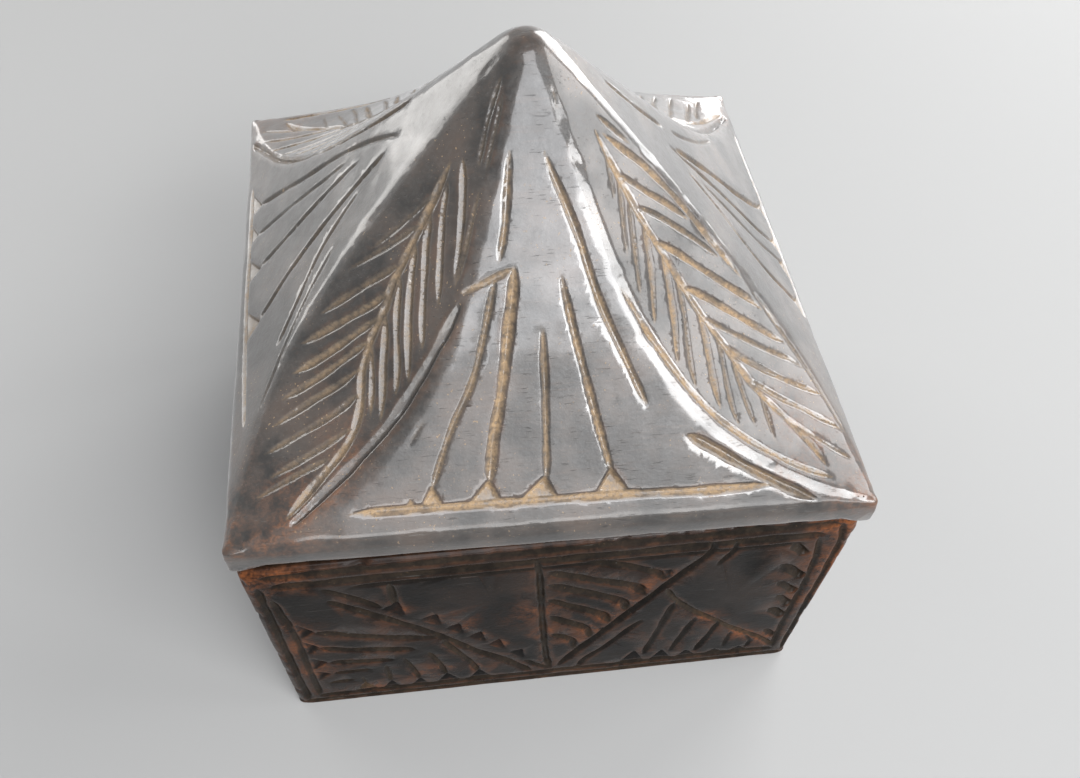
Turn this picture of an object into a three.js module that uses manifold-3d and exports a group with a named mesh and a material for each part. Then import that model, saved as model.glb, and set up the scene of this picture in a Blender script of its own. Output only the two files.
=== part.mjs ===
// Carved wooden trinket box with a lift-off lid.
//
// Millimetres. +Z is up, the box stands on Z = 0 and its middle is on the Z axis.
// The box is hollowed from one block. The lid is one carved block that stands on the
// box's rim, with a lip on its underside that drops into the well. Four flat fan faces
// lean in to a rounded tip, and a long leaf-shaped facet is cut down each corner.

import * as THREE from 'three';
import { mergeVertices } from 'three/addons/utils/BufferGeometryUtils.js';
import Module from 'manifold-3d';

const wasm = await Module();
wasm.setup();

// Driving dimensions of the box
const lidWidth = 90;          // across the lid's square rim, the widest part of the object
const lidOverhang = 0.6;      // how far the rim stands out past the box on every side
const bodyHeight = 51;        // from the table to the top of the walls
const wallThickness = 5;
const floorThickness = 6;
const bodyCornerRadius = 1.2; // worn upright corners of the box
const wellCornerRadius = 4;   // corners of the hollow, as a gouge leaves them

// Driving dimensions of the lid
const seatGap = 0.3;          // between the lid's underside and the top of the walls
const rimThickness = 4.8;     // height of the rim's upright edge
const rimCornerCut = 1.0;     // how much of each rim corner is worn away, along each side
const fanMeetHeight = 47.5;   // above the rim, where the four fan faces would meet in a point
const tipRadius = 4.5;        // the rounding that replaces that point
const leafShare = 0.425;      // half width of a fan over its distance from the axis, high up
const leafOpening = 7.8;      // height in which the leaf facets open from the rim corners
const roofThickness = 8;      // wood left between the carved outside and the lid's hollow
const hollowTipHalf = 4;      // half width of the lid's hollow at its closed end
const hollowLeastShare = 0.2; // the least half width of the hollow's fans over their distance

// Driving dimensions of the lip
const lipDepth = 4;
const lipThickness = 3.5;
const lipClearance = 0.7;     // a loose fit, on every side

// How finely the curved forms are faceted
const roofLevels = 14;
const tipLevels = 5;
const cornerSegments = 4;
const levelCrowding = 1.5;    // above 1, the roof's levels lie closer together near the rim
const overcut = 1;            // a cutting shape runs this far past the face it opens
const mergeDistance = 1e-4;   // corners closer than this are one corner

// Driving dimensions of the carving: V-shaped knife cuts, wide at the surface
const borderWidth = 1.8;      // the long cuts that frame a face
const borderDepth = 0.7;
const ribWidth = 1.9;         // the short deep cuts of the fans on the walls
const ribDepth = 0.8;
const stemWidth = 1.5;        // the lines that part the fields
const stemDepth = 0.75;
const rayWidth = 1.1;         // the fine rays and the barbs of the leaves
const rayDepth = 0.5;
const chipDepth = 0.85;       // the three-sided notches
const chipTipShare = 0.6;     // how far from its foot to its tip a notch is deepest
const cutRunOut = 2.5;        // length in which a cut runs out at each end
const mostRunOut = 1 / 3;     // the most of a straight stretch that it takes
const cutStandOut = 0.5;      // how far a cutting shape stands out over the face

// The sizes of the faces that the carving is drawn on; it stretches with the real ones
const drawnWallWidth = 88.8;
const drawnWallHeight = 51;
const drawnLidWidth = 90;
const drawnSlant = 65.43;
const drawnLeafLength = 79.05;
const leafCurveSteps = 80;    // how finely the leaf facets' curve is measured

// The cuts on a wall: across from its middle, and up from the table.
const wallCarving = {
  borders: [
    [[-43, 1.4], [43.4, 1.2]],
    [[-40.4, 3.5], [41.2, 3.5]],
    [[-40.5, 46.8], [39.5, 46.8]],
    [[-41.5, 49.5], [41, 49.7]],
    [[-42.2, 46], [-42.2, 1.5]],
    [[42.2, 48], [42.9, 20], [43.2, 2]],
  ],
  stems: [
    [[-3.2, 47], [-1.8, 28], [0.2, 5]],
    [[-33.6, 41], [-21.5, 28.3], [-12, 16], [-3, 4.6]],
    [[-34, 45], [-26, 36.8]],
    [[-24.2, 44.6], [-23.9, 36]],
    [[1.6, 6], [10.7, 22.8], [22.6, 47]],
    [[5, 4], [9, 11.7], [15.2, 22.6]],
    [[17.4, 33.7], [24, 23], [34, 12.5], [41, 4.6]],
    [[-41, 43], [-39.9, 30], [-40, 4]],
    [[38.5, 46.5], [40.3, 30], [41, 4]],
  ],
  ribs: [
    [[-37, 30.2], [-29, 26.8], [-18.5, 23.6]],
    [[-37.2, 24.2], [-31, 21.8], [-22.2, 19.8]],
    [[-36.5, 18], [-25.8, 16.5]],
    [[4, 45.3], [12, 41.8], [16.8, 36.8]],
    [[-1.6, 43.2], [8, 38.2], [14.2, 32]],
    [[-1.4, 38.9], [7, 33.5], [11.9, 26.5]],
    [[-1.2, 33.9], [6.5, 27.4], [9.6, 22.3]],
    [[-0.8, 27.8], [4.6, 22.4], [6.8, 17]],
    [[-0.3, 20.4], [4.3, 12.8]],
    [[34.9, 44.6], [37.9, 40.8]],
    [[34.6, 38.2], [39.2, 33]],
    [[35.6, 32], [39.4, 27.5]],
    [[36.6, 26.9], [39.8, 22.3]],
    [[36.5, 21.8], [39.7, 18]],
  ],
  rays: [
    [[-36.5, 13.2], [-30, 13.4]],
    [[-18, 22.5], [-14.5, 14], [-12.2, 7]],
    [[-20.5, 18.3], [-17.8, 7]],
    [[-24.6, 17], [-22.4, 6.5]],
    [[-27.7, 14.5], [-27.4, 7]],
    [[19.6, 28], [16.8, 7]],
    [[24.2, 21.5], [21.5, 7]],
    [[28.6, 18.5], [26.2, 6]],
    [[31.7, 13.8], [31.2, 6.5]],
    [[24.2, 40], [26, 48]],
  ],
  chips: [
    [[-23.4, 38], [-26.3, 36.3], [-22.6, 32.3]],
    [[-18.1, 32.8], [-21, 31.3], [-17.4, 27.8]],
    [[-14.8, 28.4], [-17.2, 27], [-14.1, 23.8]],
    [[-11.5, 24.4], [-13.8, 22.8], [-10.6, 19.4]],
    [[-8.6, 20.6], [-10.6, 18.7], [-7.4, 15.6]],
    [[-12.2, 8], [-14.4, 4], [-10, 4]],
    [[-17.8, 7.8], [-20, 4], [-15.3, 4]],
    [[-22.4, 7.2], [-24.4, 4], [-21.1, 4]],
    [[-27.3, 7.4], [-29.3, 4], [-26, 4]],
    [[-36.8, 30.4], [-39.4, 28.4], [-39.4, 34]],
    [[-37, 24.4], [-39.4, 21.6], [-39.4, 27.4]],
    [[-36.6, 18], [-39.4, 15.6], [-39.4, 20.6]],
    [[15, 9.2], [12.6, 4], [17.3, 4]],
    [[20, 8.4], [18.2, 4], [22.3, 4]],
    [[24.6, 7], [22.9, 4], [26.9, 4]],
    [[34.4, 6], [32.5, 4], [36.6, 4]],
  ],
};

// The cuts on three of the lid's fans: across from the middle, and up the slope from the rim.
const frontFanCarving = {
  borders: [
    [[-28, 4.3], [8, 4.1], [30, 3.9]],
    [[17.8, 11.8], [25, 7.2], [35, 1.6]],
  ],
  rays: [
    [[-16.6, 7], [-10.5, 20], [-6, 34.5]],
    [[-9, 7], [-5.5, 24], [-3.6, 35.5]],
    [[-5.6, 35.5], [-3.2, 49.8]],
    [[-1.4, 7], [-0.5, 28]],
    [[7.4, 7.5], [4.8, 20], [2.2, 34.5]],
    [[12.9, 15.6], [7.5, 29], [0.9, 49.8]],
  ],
  chips: [
    [[-16.6, 7.6], [-18.6, 4.1], [-15.2, 4.1]],
    [[-9, 7.8], [-12.4, 4.1], [-7.4, 4.1]],
    [[-1.5, 7.7], [-5.6, 4.1], [0.1, 4.1]],
    [[7.4, 8.2], [4.8, 4.1], [10, 4]],
  ],
};
const leftFanCarving = {
  borders: [
    [[-36, 1.6], [-25, 9.5], [-15, 23], [-6, 44]],
  ],
  rays: [
    [[-24, 2.3], [27, 4.2]],
    [[-17.6, 5], [-11, 23], [-1, 41]],
    [[-10.7, 4.5], [-9, 16], [-6.3, 29]],
    [[-2.6, 6], [-4, 32]],
    [[8.7, 6.8], [2, 23], [-0.5, 38]],
    [[17.5, 12], [7, 22], [2, 32]],
  ],
  chips: [
    [[-17.5, 5.6], [-22.8, 2.2], [-16.8, 2.4]],
    [[-10.8, 5], [-15.4, 2.3], [-10, 2.4]],
    [[-2.4, 6.5], [-6.9, 2.4], [-1.4, 2.6]],
    [[8.9, 7.1], [4.6, 3], [10.8, 3]],
  ],
};
const rightFanCarving = {
  borders: [],
  rays: [
    [[-13, 2], [31, 2.5]],
    [[-9.8, 2], [-9, 12], [-1, 31]],
    [[-1.4, 3], [-0.4, 27]],
    [[2.8, 3.5], [1.3, 35]],
    [[11, 3.6], [7, 14], [2, 33]],
    [[5, 35], [2, 50]],
    [[17, 17], [6, 33]],
    [[27, 9], [18.5, 21.5], [9, 37]],
  ],
  chips: [
    [[-9.8, 4.6], [-13, 2], [-8.2, 2]],
    [[-2, 4.8], [-4.8, 2], [-0.2, 2]],
    [[2.8, 4.8], [0.8, 2], [5.2, 2]],
    [[11, 5], [8.6, 2], [13.4, 2]],
  ],
};

// The cuts on two of the leaf facets: across from the middle, and up the curve from the corner.
const rightLeafCarving = {
  stems: [
    [[-0.3, 62.5], [-0.5, 42], [-0.4, 24], [0, 15]],
    [[-9.3, 46], [-9.7, 30], [-8.2, 21], [-5.3, 13], [-2, 7]],
  ],
  rays: [
    [[0.2, 62.5], [5, 55], [8.9, 42]],
    [[0.4, 57.6], [8.4, 43.8]],
    [[0.3, 52], [9.2, 38]],
    [[0, 46.4], [9.4, 32.2]],
    [[0, 40.2], [9.4, 25.4]],
    [[0.3, 34.2], [8.9, 19.8]],
    [[0.2, 27.4], [7.7, 16.2]],
    [[0.2, 21.8], [6.2, 11.3]],
    [[-1, 53.8], [-5.4, 47.8]],
    [[-0.9, 48.8], [-8.7, 39]],
    [[-1, 43.8], [-9, 33.2]],
    [[-0.9, 39.2], [-8.4, 31]],
    [[-0.9, 35.2], [-8.5, 24.2]],
    [[-0.9, 30.6], [-5, 25.3]],
  ],
};
const leftLeafCarving = {
  stems: [
    [[-1, 60.5], [-0.5, 44], [0, 34.5], [3, 27], [4.6, 19], [4.2, 8.5]],
    [[9, 46], [8.8, 33], [6.8, 18], [5, 7.5]],
  ],
  rays: [
    [[0.2, 62], [4.6, 56], [6.5, 48.5]],
    [[0.6, 58], [7.4, 42.5]],
    [[0.3, 55.5], [8.4, 37]],
    [[0, 51.8], [7.9, 36]],
    [[-0.2, 47], [5.7, 35.2]],
    [[0, 35], [7.4, 25.4]],
    [[0.5, 32.2], [5.3, 25.2]],
    [[-3, 46.5], [-9, 40.2]],
    [[-3.4, 44], [-9.3, 34.4]],
    [[-1, 42.2], [-9.3, 28]],
    [[-0.6, 36.4], [-8.4, 25.3]],
    [[-0.8, 32], [-7.6, 20]],
    [[0, 28.4], [-5.8, 16.6]],
    [[0, 22.4], [-4.2, 12.6]],
    [[1.8, 17.6], [-1.6, 8.2]],
  ],
};

// The sides, as quarter turns from the front
const [front, right, back, left] = [0, 1, 2, 3];
const sides = [front, right, back, left];

// Sizes that follow from them
const bodyWidth = lidWidth - 2 * lidOverhang;
const wellWidth = bodyWidth - 2 * wallThickness;
const lipOuterHalf = wellWidth / 2 - lipClearance;
const lipInnerHalf = lipOuterHalf - lipThickness;
const lipCornerRadius = Math.max(wellCornerRadius - lipClearance, lipClearance);
const lidBottom = bodyHeight + seatGap;
const rimTop = lidBottom + rimThickness;
const rimHalf = lidWidth / 2;
const fanSlant = Math.hypot(rimHalf, fanMeetHeight);
const tipCentreHeight = fanMeetHeight - tipRadius * fanSlant / rimHalf;
const tipStartHeight = tipCentreHeight + tipRadius * rimHalf / fanSlant;
const hollowInset = roofThickness * fanSlant / fanMeetHeight;

// Turns a closed three.js geometry into a solid that can be joined and cut.
function toSolid(geometry) {
  const bare = geometry.clone();
  bare.deleteAttribute('normal');
  bare.deleteAttribute('uv');
  const merged = mergeVertices(bare, mergeDistance);
  const vertProperties = new Float32Array(merged.attributes.position.array);
  const triVerts = new Uint32Array(merged.index.array);
  return new wasm.Manifold(new wasm.Mesh({ numProp: 3, vertProperties, triVerts }));
}

// Turns a solid back into a named mesh with its own material.
function toMesh(name, solid, finish) {
  const made = solid.getMesh();
  const geometry = new THREE.BufferGeometry();
  geometry.setAttribute('position', new THREE.BufferAttribute(made.vertProperties, 3));
  geometry.setIndex(new THREE.BufferAttribute(made.triVerts, 1));
  geometry.computeVertexNormals();
  const mesh = new THREE.Mesh(geometry, new THREE.MeshStandardMaterial(finish));
  mesh.name = name;
  return mesh;
}

// A square outline with rounded corners, centred on the axis.
function roundedSquare(width, radius) {
  const half = width / 2;
  const flat = half - radius;
  const shape = new THREE.Shape();
  shape.moveTo(flat, -half);
  shape.absarc(flat, -flat, radius, -Math.PI / 2, 0, false);
  shape.absarc(flat, flat, radius, 0, Math.PI / 2, false);
  shape.absarc(-flat, flat, radius, Math.PI / 2, Math.PI, false);
  shape.absarc(-flat, -flat, radius, Math.PI, 3 * Math.PI / 2, false);
  shape.closePath();
  return shape;
}

// An upright block on that outline, from one height to another.
function block(width, radius, bottom, top) {
  const geometry = new THREE.ExtrudeGeometry(roundedSquare(width, radius), {
    depth: top - bottom,
    bevelEnabled: false,
    curveSegments: cornerSegments,
  });
  geometry.translate(0, 0, bottom);
  return toSolid(geometry);
}

// The roof's level section at a height above the rim: the distance of the fan faces from
// the axis, and half the width of a fan between its two leaf facets.
function roofSection(height) {
  const onTip = height > tipStartHeight;
  const tipReach = Math.sqrt(Math.max(tipRadius ** 2 - (height - tipCentreHeight) ** 2, 0));
  const distance = onTip ? tipReach : rimHalf * (1 - height / fanMeetHeight);
  const share = leafShare + (1 - leafShare) * Math.exp(-height / leafOpening);
  const halfWidth = Math.min(distance * share, rimHalf - rimCornerCut);
  return { distance, halfWidth };
}

// The section of the hollow under it, with the roof's thickness of wood outside.
function hollowSection(height) {
  const outer = roofSection(height);
  const distance = outer.distance - hollowInset;
  const leafDistance = (outer.distance + outer.halfWidth) / Math.SQRT2 - hollowInset;
  const widest = Math.min(leafDistance * Math.SQRT2 - distance, distance - rimCornerCut);
  return { distance, halfWidth: Math.max(widest, distance * hollowLeastShare) };
}

// The eight corners of a level section, anticlockwise from the front fan's left corner.
function sectionCorners({ distance, halfWidth }, z) {
  return [
    [-halfWidth, -distance, z],
    [halfWidth, -distance, z],
    [distance, -halfWidth, z],
    [distance, halfWidth, z],
    [halfWidth, distance, z],
    [-halfWidth, distance, z],
    [-distance, halfWidth, z],
    [-distance, -halfWidth, z],
  ];
}

// A closed body through a stack of such sections, lowest first, with flat ends.
function loft(rings) {
  const corners = rings[0].length;
  const ends = [rings[0], rings.at(-1)].map((ring) => [0, 0, ring[0][2]]);
  const positions = [...rings.flat(), ...ends].flat();
  const bottomCentre = rings.length * corners;
  const topCentre = bottomCentre + 1;
  const topStart = (rings.length - 1) * corners;
  const index = [];
  for (let corner = 0; corner < corners; corner += 1) {
    const next = (corner + 1) % corners;
    for (let level = 0; level < rings.length - 1; level += 1) {
      const here = level * corners;
      const above = here + corners;
      index.push(here + corner, here + next, above + next);
      index.push(here + corner, above + next, above + corner);
    }
    index.push(bottomCentre, next, corner);
    index.push(topCentre, topStart + corner, topStart + next);
  }
  const geometry = new THREE.BufferGeometry();
  geometry.setAttribute('position', new THREE.Float32BufferAttribute(positions, 3));
  geometry.setIndex(index);
  return toSolid(geometry);
}

// Where a point drawn on a face lies in space, and the way straight out of the face there.
// Each face is given at the front, or at the front's right-hand corner.
const wallFace = (across, along) => ({
  point: new THREE.Vector3(
    across * bodyWidth / drawnWallWidth, -bodyWidth / 2, along * bodyHeight / drawnWallHeight),
  outward: new THREE.Vector3(0, -1, 0),
});

const fanFace = (across, along) => {
  const outward = new THREE.Vector3(0, -fanMeetHeight, rimHalf).divideScalar(fanSlant);
  const up = new THREE.Vector3(0, rimHalf, fanMeetHeight).multiplyScalar(along / drawnSlant);
  const point = new THREE.Vector3(across * lidWidth / drawnLidWidth, -rimHalf, rimTop).add(up);
  return { point, outward };
};

// The leaf facets' curve: its distance from the axis, its height and the length up to there.
function makeLeafCurve() {
  const curve = [];
  const top = tipCentreHeight + tipRadius;
  for (let step = 0; step <= leafCurveSteps; step += 1) {
    const height = top * step / leafCurveSteps;
    const { distance, halfWidth } = roofSection(height);
    const reach = (distance + halfWidth) / Math.SQRT2;
    const last = curve.at(-1) ?? { reach, height, length: 0 };
    const length = last.length + Math.hypot(reach - last.reach, height - last.height);
    curve.push({ reach, height, length });
  }
  return curve;
}

const leafCurve = makeLeafCurve();

const leafFace = (across, along) => {
  const length = along * leafCurve.at(-1).length / drawnLeafLength;
  const index = Math.max(leafCurve.findIndex((place) => place.length >= length), 1);
  const [below, above] = [leafCurve[index - 1], leafCurve[index]];
  const share = (length - below.length) / (above.length - below.length);
  const reach = below.reach + (above.reach - below.reach) * share;
  const height = below.height + (above.height - below.height) * share;
  const sideways = across * lidWidth / drawnLidWidth;
  const point = new THREE.Vector3(
    (reach + sideways) / Math.SQRT2, (sideways - reach) / Math.SQRT2, rimTop + height);
  const rise = above.height - below.height;
  const outward = new THREE.Vector3(
    rise / Math.SQRT2, -rise / Math.SQRT2, below.reach - above.reach).normalize();
  return { point, outward };
};

// A closed body from rings of three corners with a point at each end.
function pointedBody(rings, firstPoint, lastPoint) {
  const sides = 3;
  const corners = [...rings.flat(), firstPoint, lastPoint];
  const first = rings.length * sides;
  const lastRing = first - sides;
  const index = [];
  for (let side = 0; side < sides; side += 1) {
    const next = (side + 1) % sides;
    for (let start = 0; start < lastRing; start += sides) {
      index.push(start + side, start + next, start + sides + next);
      index.push(start + side, start + sides + next, start + sides + side);
    }
    index.push(first, next, side);
    index.push(first + 1, lastRing + side, lastRing + next);
  }
  const geometry = new THREE.BufferGeometry().setFromPoints(corners);
  geometry.setIndex(index);
  return toSolid(geometry);
}

// The shape that a knife takes out along a line of places: a V that runs out at both ends.
function knifeCut(face, points, width, depth) {
  const places = points.map(([across, along]) => face(across, along));
  const runOut = (from, to) => {
    const share = Math.min(cutRunOut / from.point.distanceTo(to.point), mostRunOut);
    return {
      point: from.point.clone().lerp(to.point, share),
      outward: from.outward.clone().lerp(to.outward, share).normalize(),
    };
  };
  const stations = [
    runOut(places[0], places[1]),
    ...places.slice(1, -1),
    runOut(places.at(-1), places.at(-2)),
  ];
  const outline = [places[0], ...stations, places.at(-1)];
  const halfTop = width / 2 * (depth + cutStandOut) / depth;
  const rings = stations.map(({ point, outward }, station) => {
    const way = outline[station + 2].point.clone().sub(outline[station].point);
    const sideways = way.cross(outward).normalize();
    const top = point.clone().addScaledVector(outward, cutStandOut);
    return [
      top.clone().addScaledVector(sideways, halfTop),
      point.clone().addScaledVector(outward, -depth),
      top.clone().addScaledVector(sideways, -halfTop),
    ];
  });
  const ends = [places[0], places.at(-1)].map(
    ({ point, outward }) => point.clone().addScaledVector(outward, cutStandOut));
  return pointedBody(rings, ...ends);
}

// The shape of a three-sided notch, from its tip and the two ends of its foot.
function chip(face, points) {
  const [tip, footA, footB] = points.map(([across, along]) => face(across, along));
  const foot = footA.point.clone().lerp(footB.point, 0.5);
  const middle = foot.lerp(tip.point, chipTipShare);
  const deepest = middle.clone().addScaledVector(tip.outward, -chipDepth);
  const above = middle.clone().addScaledVector(tip.outward, cutStandOut);
  const corners = [tip.point, footA.point, footB.point];
  const turn = corners[1].clone().sub(corners[0]).cross(corners[2].clone().sub(corners[0]));
  if (turn.dot(tip.outward) < 0) corners.reverse();
  return pointedBody([corners], deepest, above);
}

// Everything that is cut out of one face, turned to its side.
function faceCuts(face, carving, side, mirrored = false) {
  const kinds = [
    [carving.borders, borderWidth, borderDepth],
    [carving.ribs, ribWidth, ribDepth],
    [carving.stems, stemWidth, stemDepth],
    [carving.rays, rayWidth, rayDepth],
  ];
  const turned = (across, along) => {
    const { point, outward } = face(mirrored ? -across : across, along);
    const axis = new THREE.Vector3(0, 0, 1);
    const angle = side * Math.PI / 2;
    return { point: point.applyAxisAngle(axis, angle), outward: outward.applyAxisAngle(axis, angle) };
  };
  const cuts = kinds.flatMap(([lines = [], width, depth]) =>
    lines.map((points) => knifeCut(turned, points, width, depth)));
  const chips = (carving.chips ?? []).map((points) => chip(turned, points));
  return [...cuts, ...chips];
}

// A solid with all of those taken out.
function carve(solid, cuts) {
  return cuts.reduce((carved, cut) => carved.subtract(cut), solid);
}

// The box: a block with a square well sunk from the top, carved on its four walls.
function makeBoxBody() {
  const outside = block(bodyWidth, bodyCornerRadius, 0, bodyHeight);
  const well = block(wellWidth, wellCornerRadius, floorThickness, bodyHeight + overcut);
  const cuts = sides.flatMap((side) => faceCuts(wallFace, wallCarving, side, side % 2 === 1));
  return carve(outside.subtract(well), cuts);
}

// The lid's outside: the upright rim, the faces leaning in, and the rounded tip.
function makeRoof() {
  const rings = [sectionCorners(roofSection(0), lidBottom)];
  for (let level = 0; level < roofLevels; level += 1) {
    const height = tipStartHeight * (level / roofLevels) ** levelCrowding;
    rings.push(sectionCorners(roofSection(height), rimTop + height));
  }
  const leanAngle = Math.atan2(rimHalf, fanMeetHeight);
  for (let level = 0; level < tipLevels; level += 1) {
    const angle = leanAngle + (Math.PI / 2 - leanAngle) * level / tipLevels;
    const height = tipCentreHeight + tipRadius * Math.sin(angle);
    rings.push(sectionCorners(roofSection(height), rimTop + height));
  }
  return loft(rings);
}

// The lid's hollow: straight through the lip and the rim, then following the roof.
function makeLidHollow() {
  const closedEnd = fanMeetHeight * (1 - (hollowTipHalf + hollowInset) / rimHalf);
  const mouth = { distance: lipInnerHalf, halfWidth: lipInnerHalf - rimCornerCut };
  const rings = [sectionCorners(mouth, lidBottom - lipDepth - overcut)];
  for (let level = 0; level <= roofLevels; level += 1) {
    const height = closedEnd * level / roofLevels;
    rings.push(sectionCorners(hollowSection(height), rimTop + height));
  }
  return loft(rings);
}

// The lid: the roof and its locating lip, hollowed from below and carved on all its slopes.
function makeLid() {
  const lip = block(2 * lipOuterHalf, lipCornerRadius, lidBottom - lipDepth, rimTop);
  const plain = makeRoof().add(lip).subtract(makeLidHollow());
  const fans = [
    faceCuts(fanFace, frontFanCarving, front),
    faceCuts(fanFace, rightFanCarving, right),
    faceCuts(fanFace, leftFanCarving, back, true),
    faceCuts(fanFace, leftFanCarving, left),
  ];
  const leaves = [
    faceCuts(leafFace, rightLeafCarving, front),
    faceCuts(leafFace, leftLeafCarving, right, true),
    faceCuts(leafFace, rightLeafCarving, back),
    faceCuts(leafFace, leftLeafCarving, left),
  ];
  return carve(plain, [...fans, ...leaves].flat());
}

const group = new THREE.Group();
group.add(toMesh('box_body', makeBoxBody(), { color: 0x2a211c, roughness: 0.45, metalness: 0 }));
group.add(toMesh('lid', makeLid(), { color: 0x332a25, roughness: 0.4, metalness: 0 }));

export default group;
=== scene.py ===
"""Looks of a small carved wooden trinket box with a lift-off, tent-shaped lid.

The box and the lid are each whittled from one block, as the real ones are: a blank is shaped
with mesh operators, given a fine even skin, cut with knife strokes laid out in millimetres on
each flat face, worn at its edges and thinned to a light mesh. Sizes are in millimetres until
a mesh is made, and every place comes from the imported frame.
"""

import logging
import math
from dataclasses import dataclass, replace
from enum import Enum
from itertools import product
from typing import Callable, Sequence

import bmesh
import bpy
import numpy as np
from mathutils import Matrix, Vector


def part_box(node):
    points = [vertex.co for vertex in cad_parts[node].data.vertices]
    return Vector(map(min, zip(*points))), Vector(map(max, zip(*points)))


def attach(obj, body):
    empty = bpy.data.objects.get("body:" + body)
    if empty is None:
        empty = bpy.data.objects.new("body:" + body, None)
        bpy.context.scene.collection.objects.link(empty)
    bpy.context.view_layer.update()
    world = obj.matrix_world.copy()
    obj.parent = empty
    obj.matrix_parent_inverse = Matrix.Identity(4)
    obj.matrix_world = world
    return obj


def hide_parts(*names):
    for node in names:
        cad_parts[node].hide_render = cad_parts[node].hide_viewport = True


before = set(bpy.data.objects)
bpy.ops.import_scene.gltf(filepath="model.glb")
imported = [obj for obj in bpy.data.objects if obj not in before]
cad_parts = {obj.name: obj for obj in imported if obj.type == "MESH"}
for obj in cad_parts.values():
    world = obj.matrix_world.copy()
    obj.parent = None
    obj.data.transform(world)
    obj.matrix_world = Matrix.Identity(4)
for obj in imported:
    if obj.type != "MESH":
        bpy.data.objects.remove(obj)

MM = 0.001
LOG = logging.getLogger("trinket_box")
WHITE = (1.0, 1.0, 1.0)

# How near in millimetres a level must be, and how near to upright an edge, to be the one meant.
LEVEL_GAP, UPRIGHT = 0.001, 0.99
# How many points are set against a facet's curve at once, and how many levels that curve has.
CHUNK, CURVE_LEVELS = 20_000, 240
# A traced stroke: its curve's step, how soon it is full, its hand's two trembles (length, share),
# where they start for its place, and how hollow its sides are.
CURVE_STEP = 1.0
FULL_SOON = 0.8
TREMBLES = ((2.3, 0.10), (0.9, 0.06))
TREMBLE_START = (3.7, 1.9)
STROKE_HOLLOW = 0.3
# The share of a notch over which its floor slopes in.
SLOPING_SHARE = 0.7
# The large, middle and small waves that the blade leaves on a face: size and share.
BLADE_WAVES = ((13.0, 0.55), (5.5, 0.30), (2.2, 0.15))
# Nicks in an arris: their two sizes, how rare they are and the most that one takes.
NICK_SIZES, NICK_RARITY, NICK_MOST = (3.1, 1.3), 0.2, 0.8
# How high over its smoothed self a place stands where an arris is sharp.
SHARP_ARRIS = 0.3
# How deep under a face a place is still carved, and how far over it.
CARVED_UNDER, CARVED_OVER = 1.6, 1.0
# The depth at which a cut is marked as full, the dust that lies in it anyhow, and the share of
# its depth at which it is filled.
FULL_CUT, LEAST_DUST, DUSTY_SHARE = 0.8, 0.05, 0.45
# How far round a notch's corners its points are looked for.
NOTCH_MARGIN = 0.1
# How the blade's waves, and a rubbed spot outwards and inwards, fade: a start and a length.
WAVES_FADE, SPOT_FADE, SPOT_FADE_IN = (1.5, 1.5), (1.3, 1.0), (1.4, 1.0)
# How the inside is told from the outside: a length and an end.
INSIDE_FROM = (2.0, 0.5)
# Rounds of smoothing, and heights in millimetres, that tell fine and broad arrises apart.
FINE_ROUNDS, BROAD_ROUNDS = 10, 50
FINE_HEIGHT, BROAD_HEIGHT = 0.10, 0.22
# Where the inside begins for the thinning, and how much less the outside is thinned.
HIDDEN_FROM, SEEN_WEIGHT = 0.9, 0.5
# The numbers that stir a lattice corner and a seed into a random value.
STIR, SEED_STIR, LAST_STIR = (73856093, 19349663, 83492791), 2654435761, 1274126177

Pair = tuple[float, float]
FlatPoint = Pair
Triple = tuple[float, float, float]
Colour = Triple


class Side(Enum):
    """The four sides, as quarter turns that bring each one round to the front."""

    FRONT = 0
    RIGHT = 1
    BACK = 2
    LEFT = 3


@dataclass(frozen=True)
class Cut:
    """One knife stroke on a flat face: a V along a line of points, in millimetres."""

    points: tuple[FlatPoint, ...]
    width: float = 1.2
    depth: float = 0.6
    dust: float = 0.0
    lean: float = 0.0
    run_in: float = 2.5
    run_out: float = 2.5


@dataclass(frozen=True)
class Chip:
    """A three-sided notch: its floor slopes in from its foot to the steep walls at its tip."""

    tip: FlatPoint
    foot_a: FlatPoint
    foot_b: FlatPoint
    depth: float = 0.9
    dust: float = 0.0
    bank: float = 0.45


@dataclass(frozen=True)
class Spot:
    """A place where the stain is rubbed through to red-brown wood."""

    place: FlatPoint
    radius: float
    amount: float = 1.0


@dataclass(frozen=True)
class Pattern:
    """All that is carved and worn on one face."""

    cuts: tuple[Cut, ...] = ()
    chips: tuple[Chip, ...] = ()
    spots: tuple[Spot, ...] = ()

    def mirrored(self) -> "Pattern":
        """The same carving, left and right swapped."""

        def flip(point: FlatPoint) -> FlatPoint:
            """The point on the other side of the middle."""
            return (-point[0], point[1])

        return Pattern(
            tuple(replace(c, points=tuple(map(flip, c.points)), lean=-c.lean) for c in self.cuts),
            tuple(
                replace(c, tip=flip(c.tip), foot_a=flip(c.foot_b), foot_b=flip(c.foot_a))
                for c in self.chips
            ),
            tuple(replace(s, place=flip(s.place)) for s in self.spots),
        )


def strokes(*rows: tuple[tuple[float, ...], ...]) -> tuple[Cut, ...]:
    """Knife strokes, each given as its numbers from the width on, and then its points."""
    return tuple(Cut(row[1:], *row[0]) for row in rows)


def notches(*rows: tuple[FlatPoint | float, ...]) -> tuple[Chip, ...]:
    """Three-sided notches, each given as its tip, its two feet, its depth and its dust."""
    return tuple(Chip(*row) for row in rows)


def rubbings(*rows: tuple[float, float, float, float]) -> tuple[Spot, ...]:
    """Rubbed spots, each given as its place, its radius and its amount."""
    return tuple(Spot((across, along), radius, amount) for across, along, radius, amount in rows)


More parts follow.
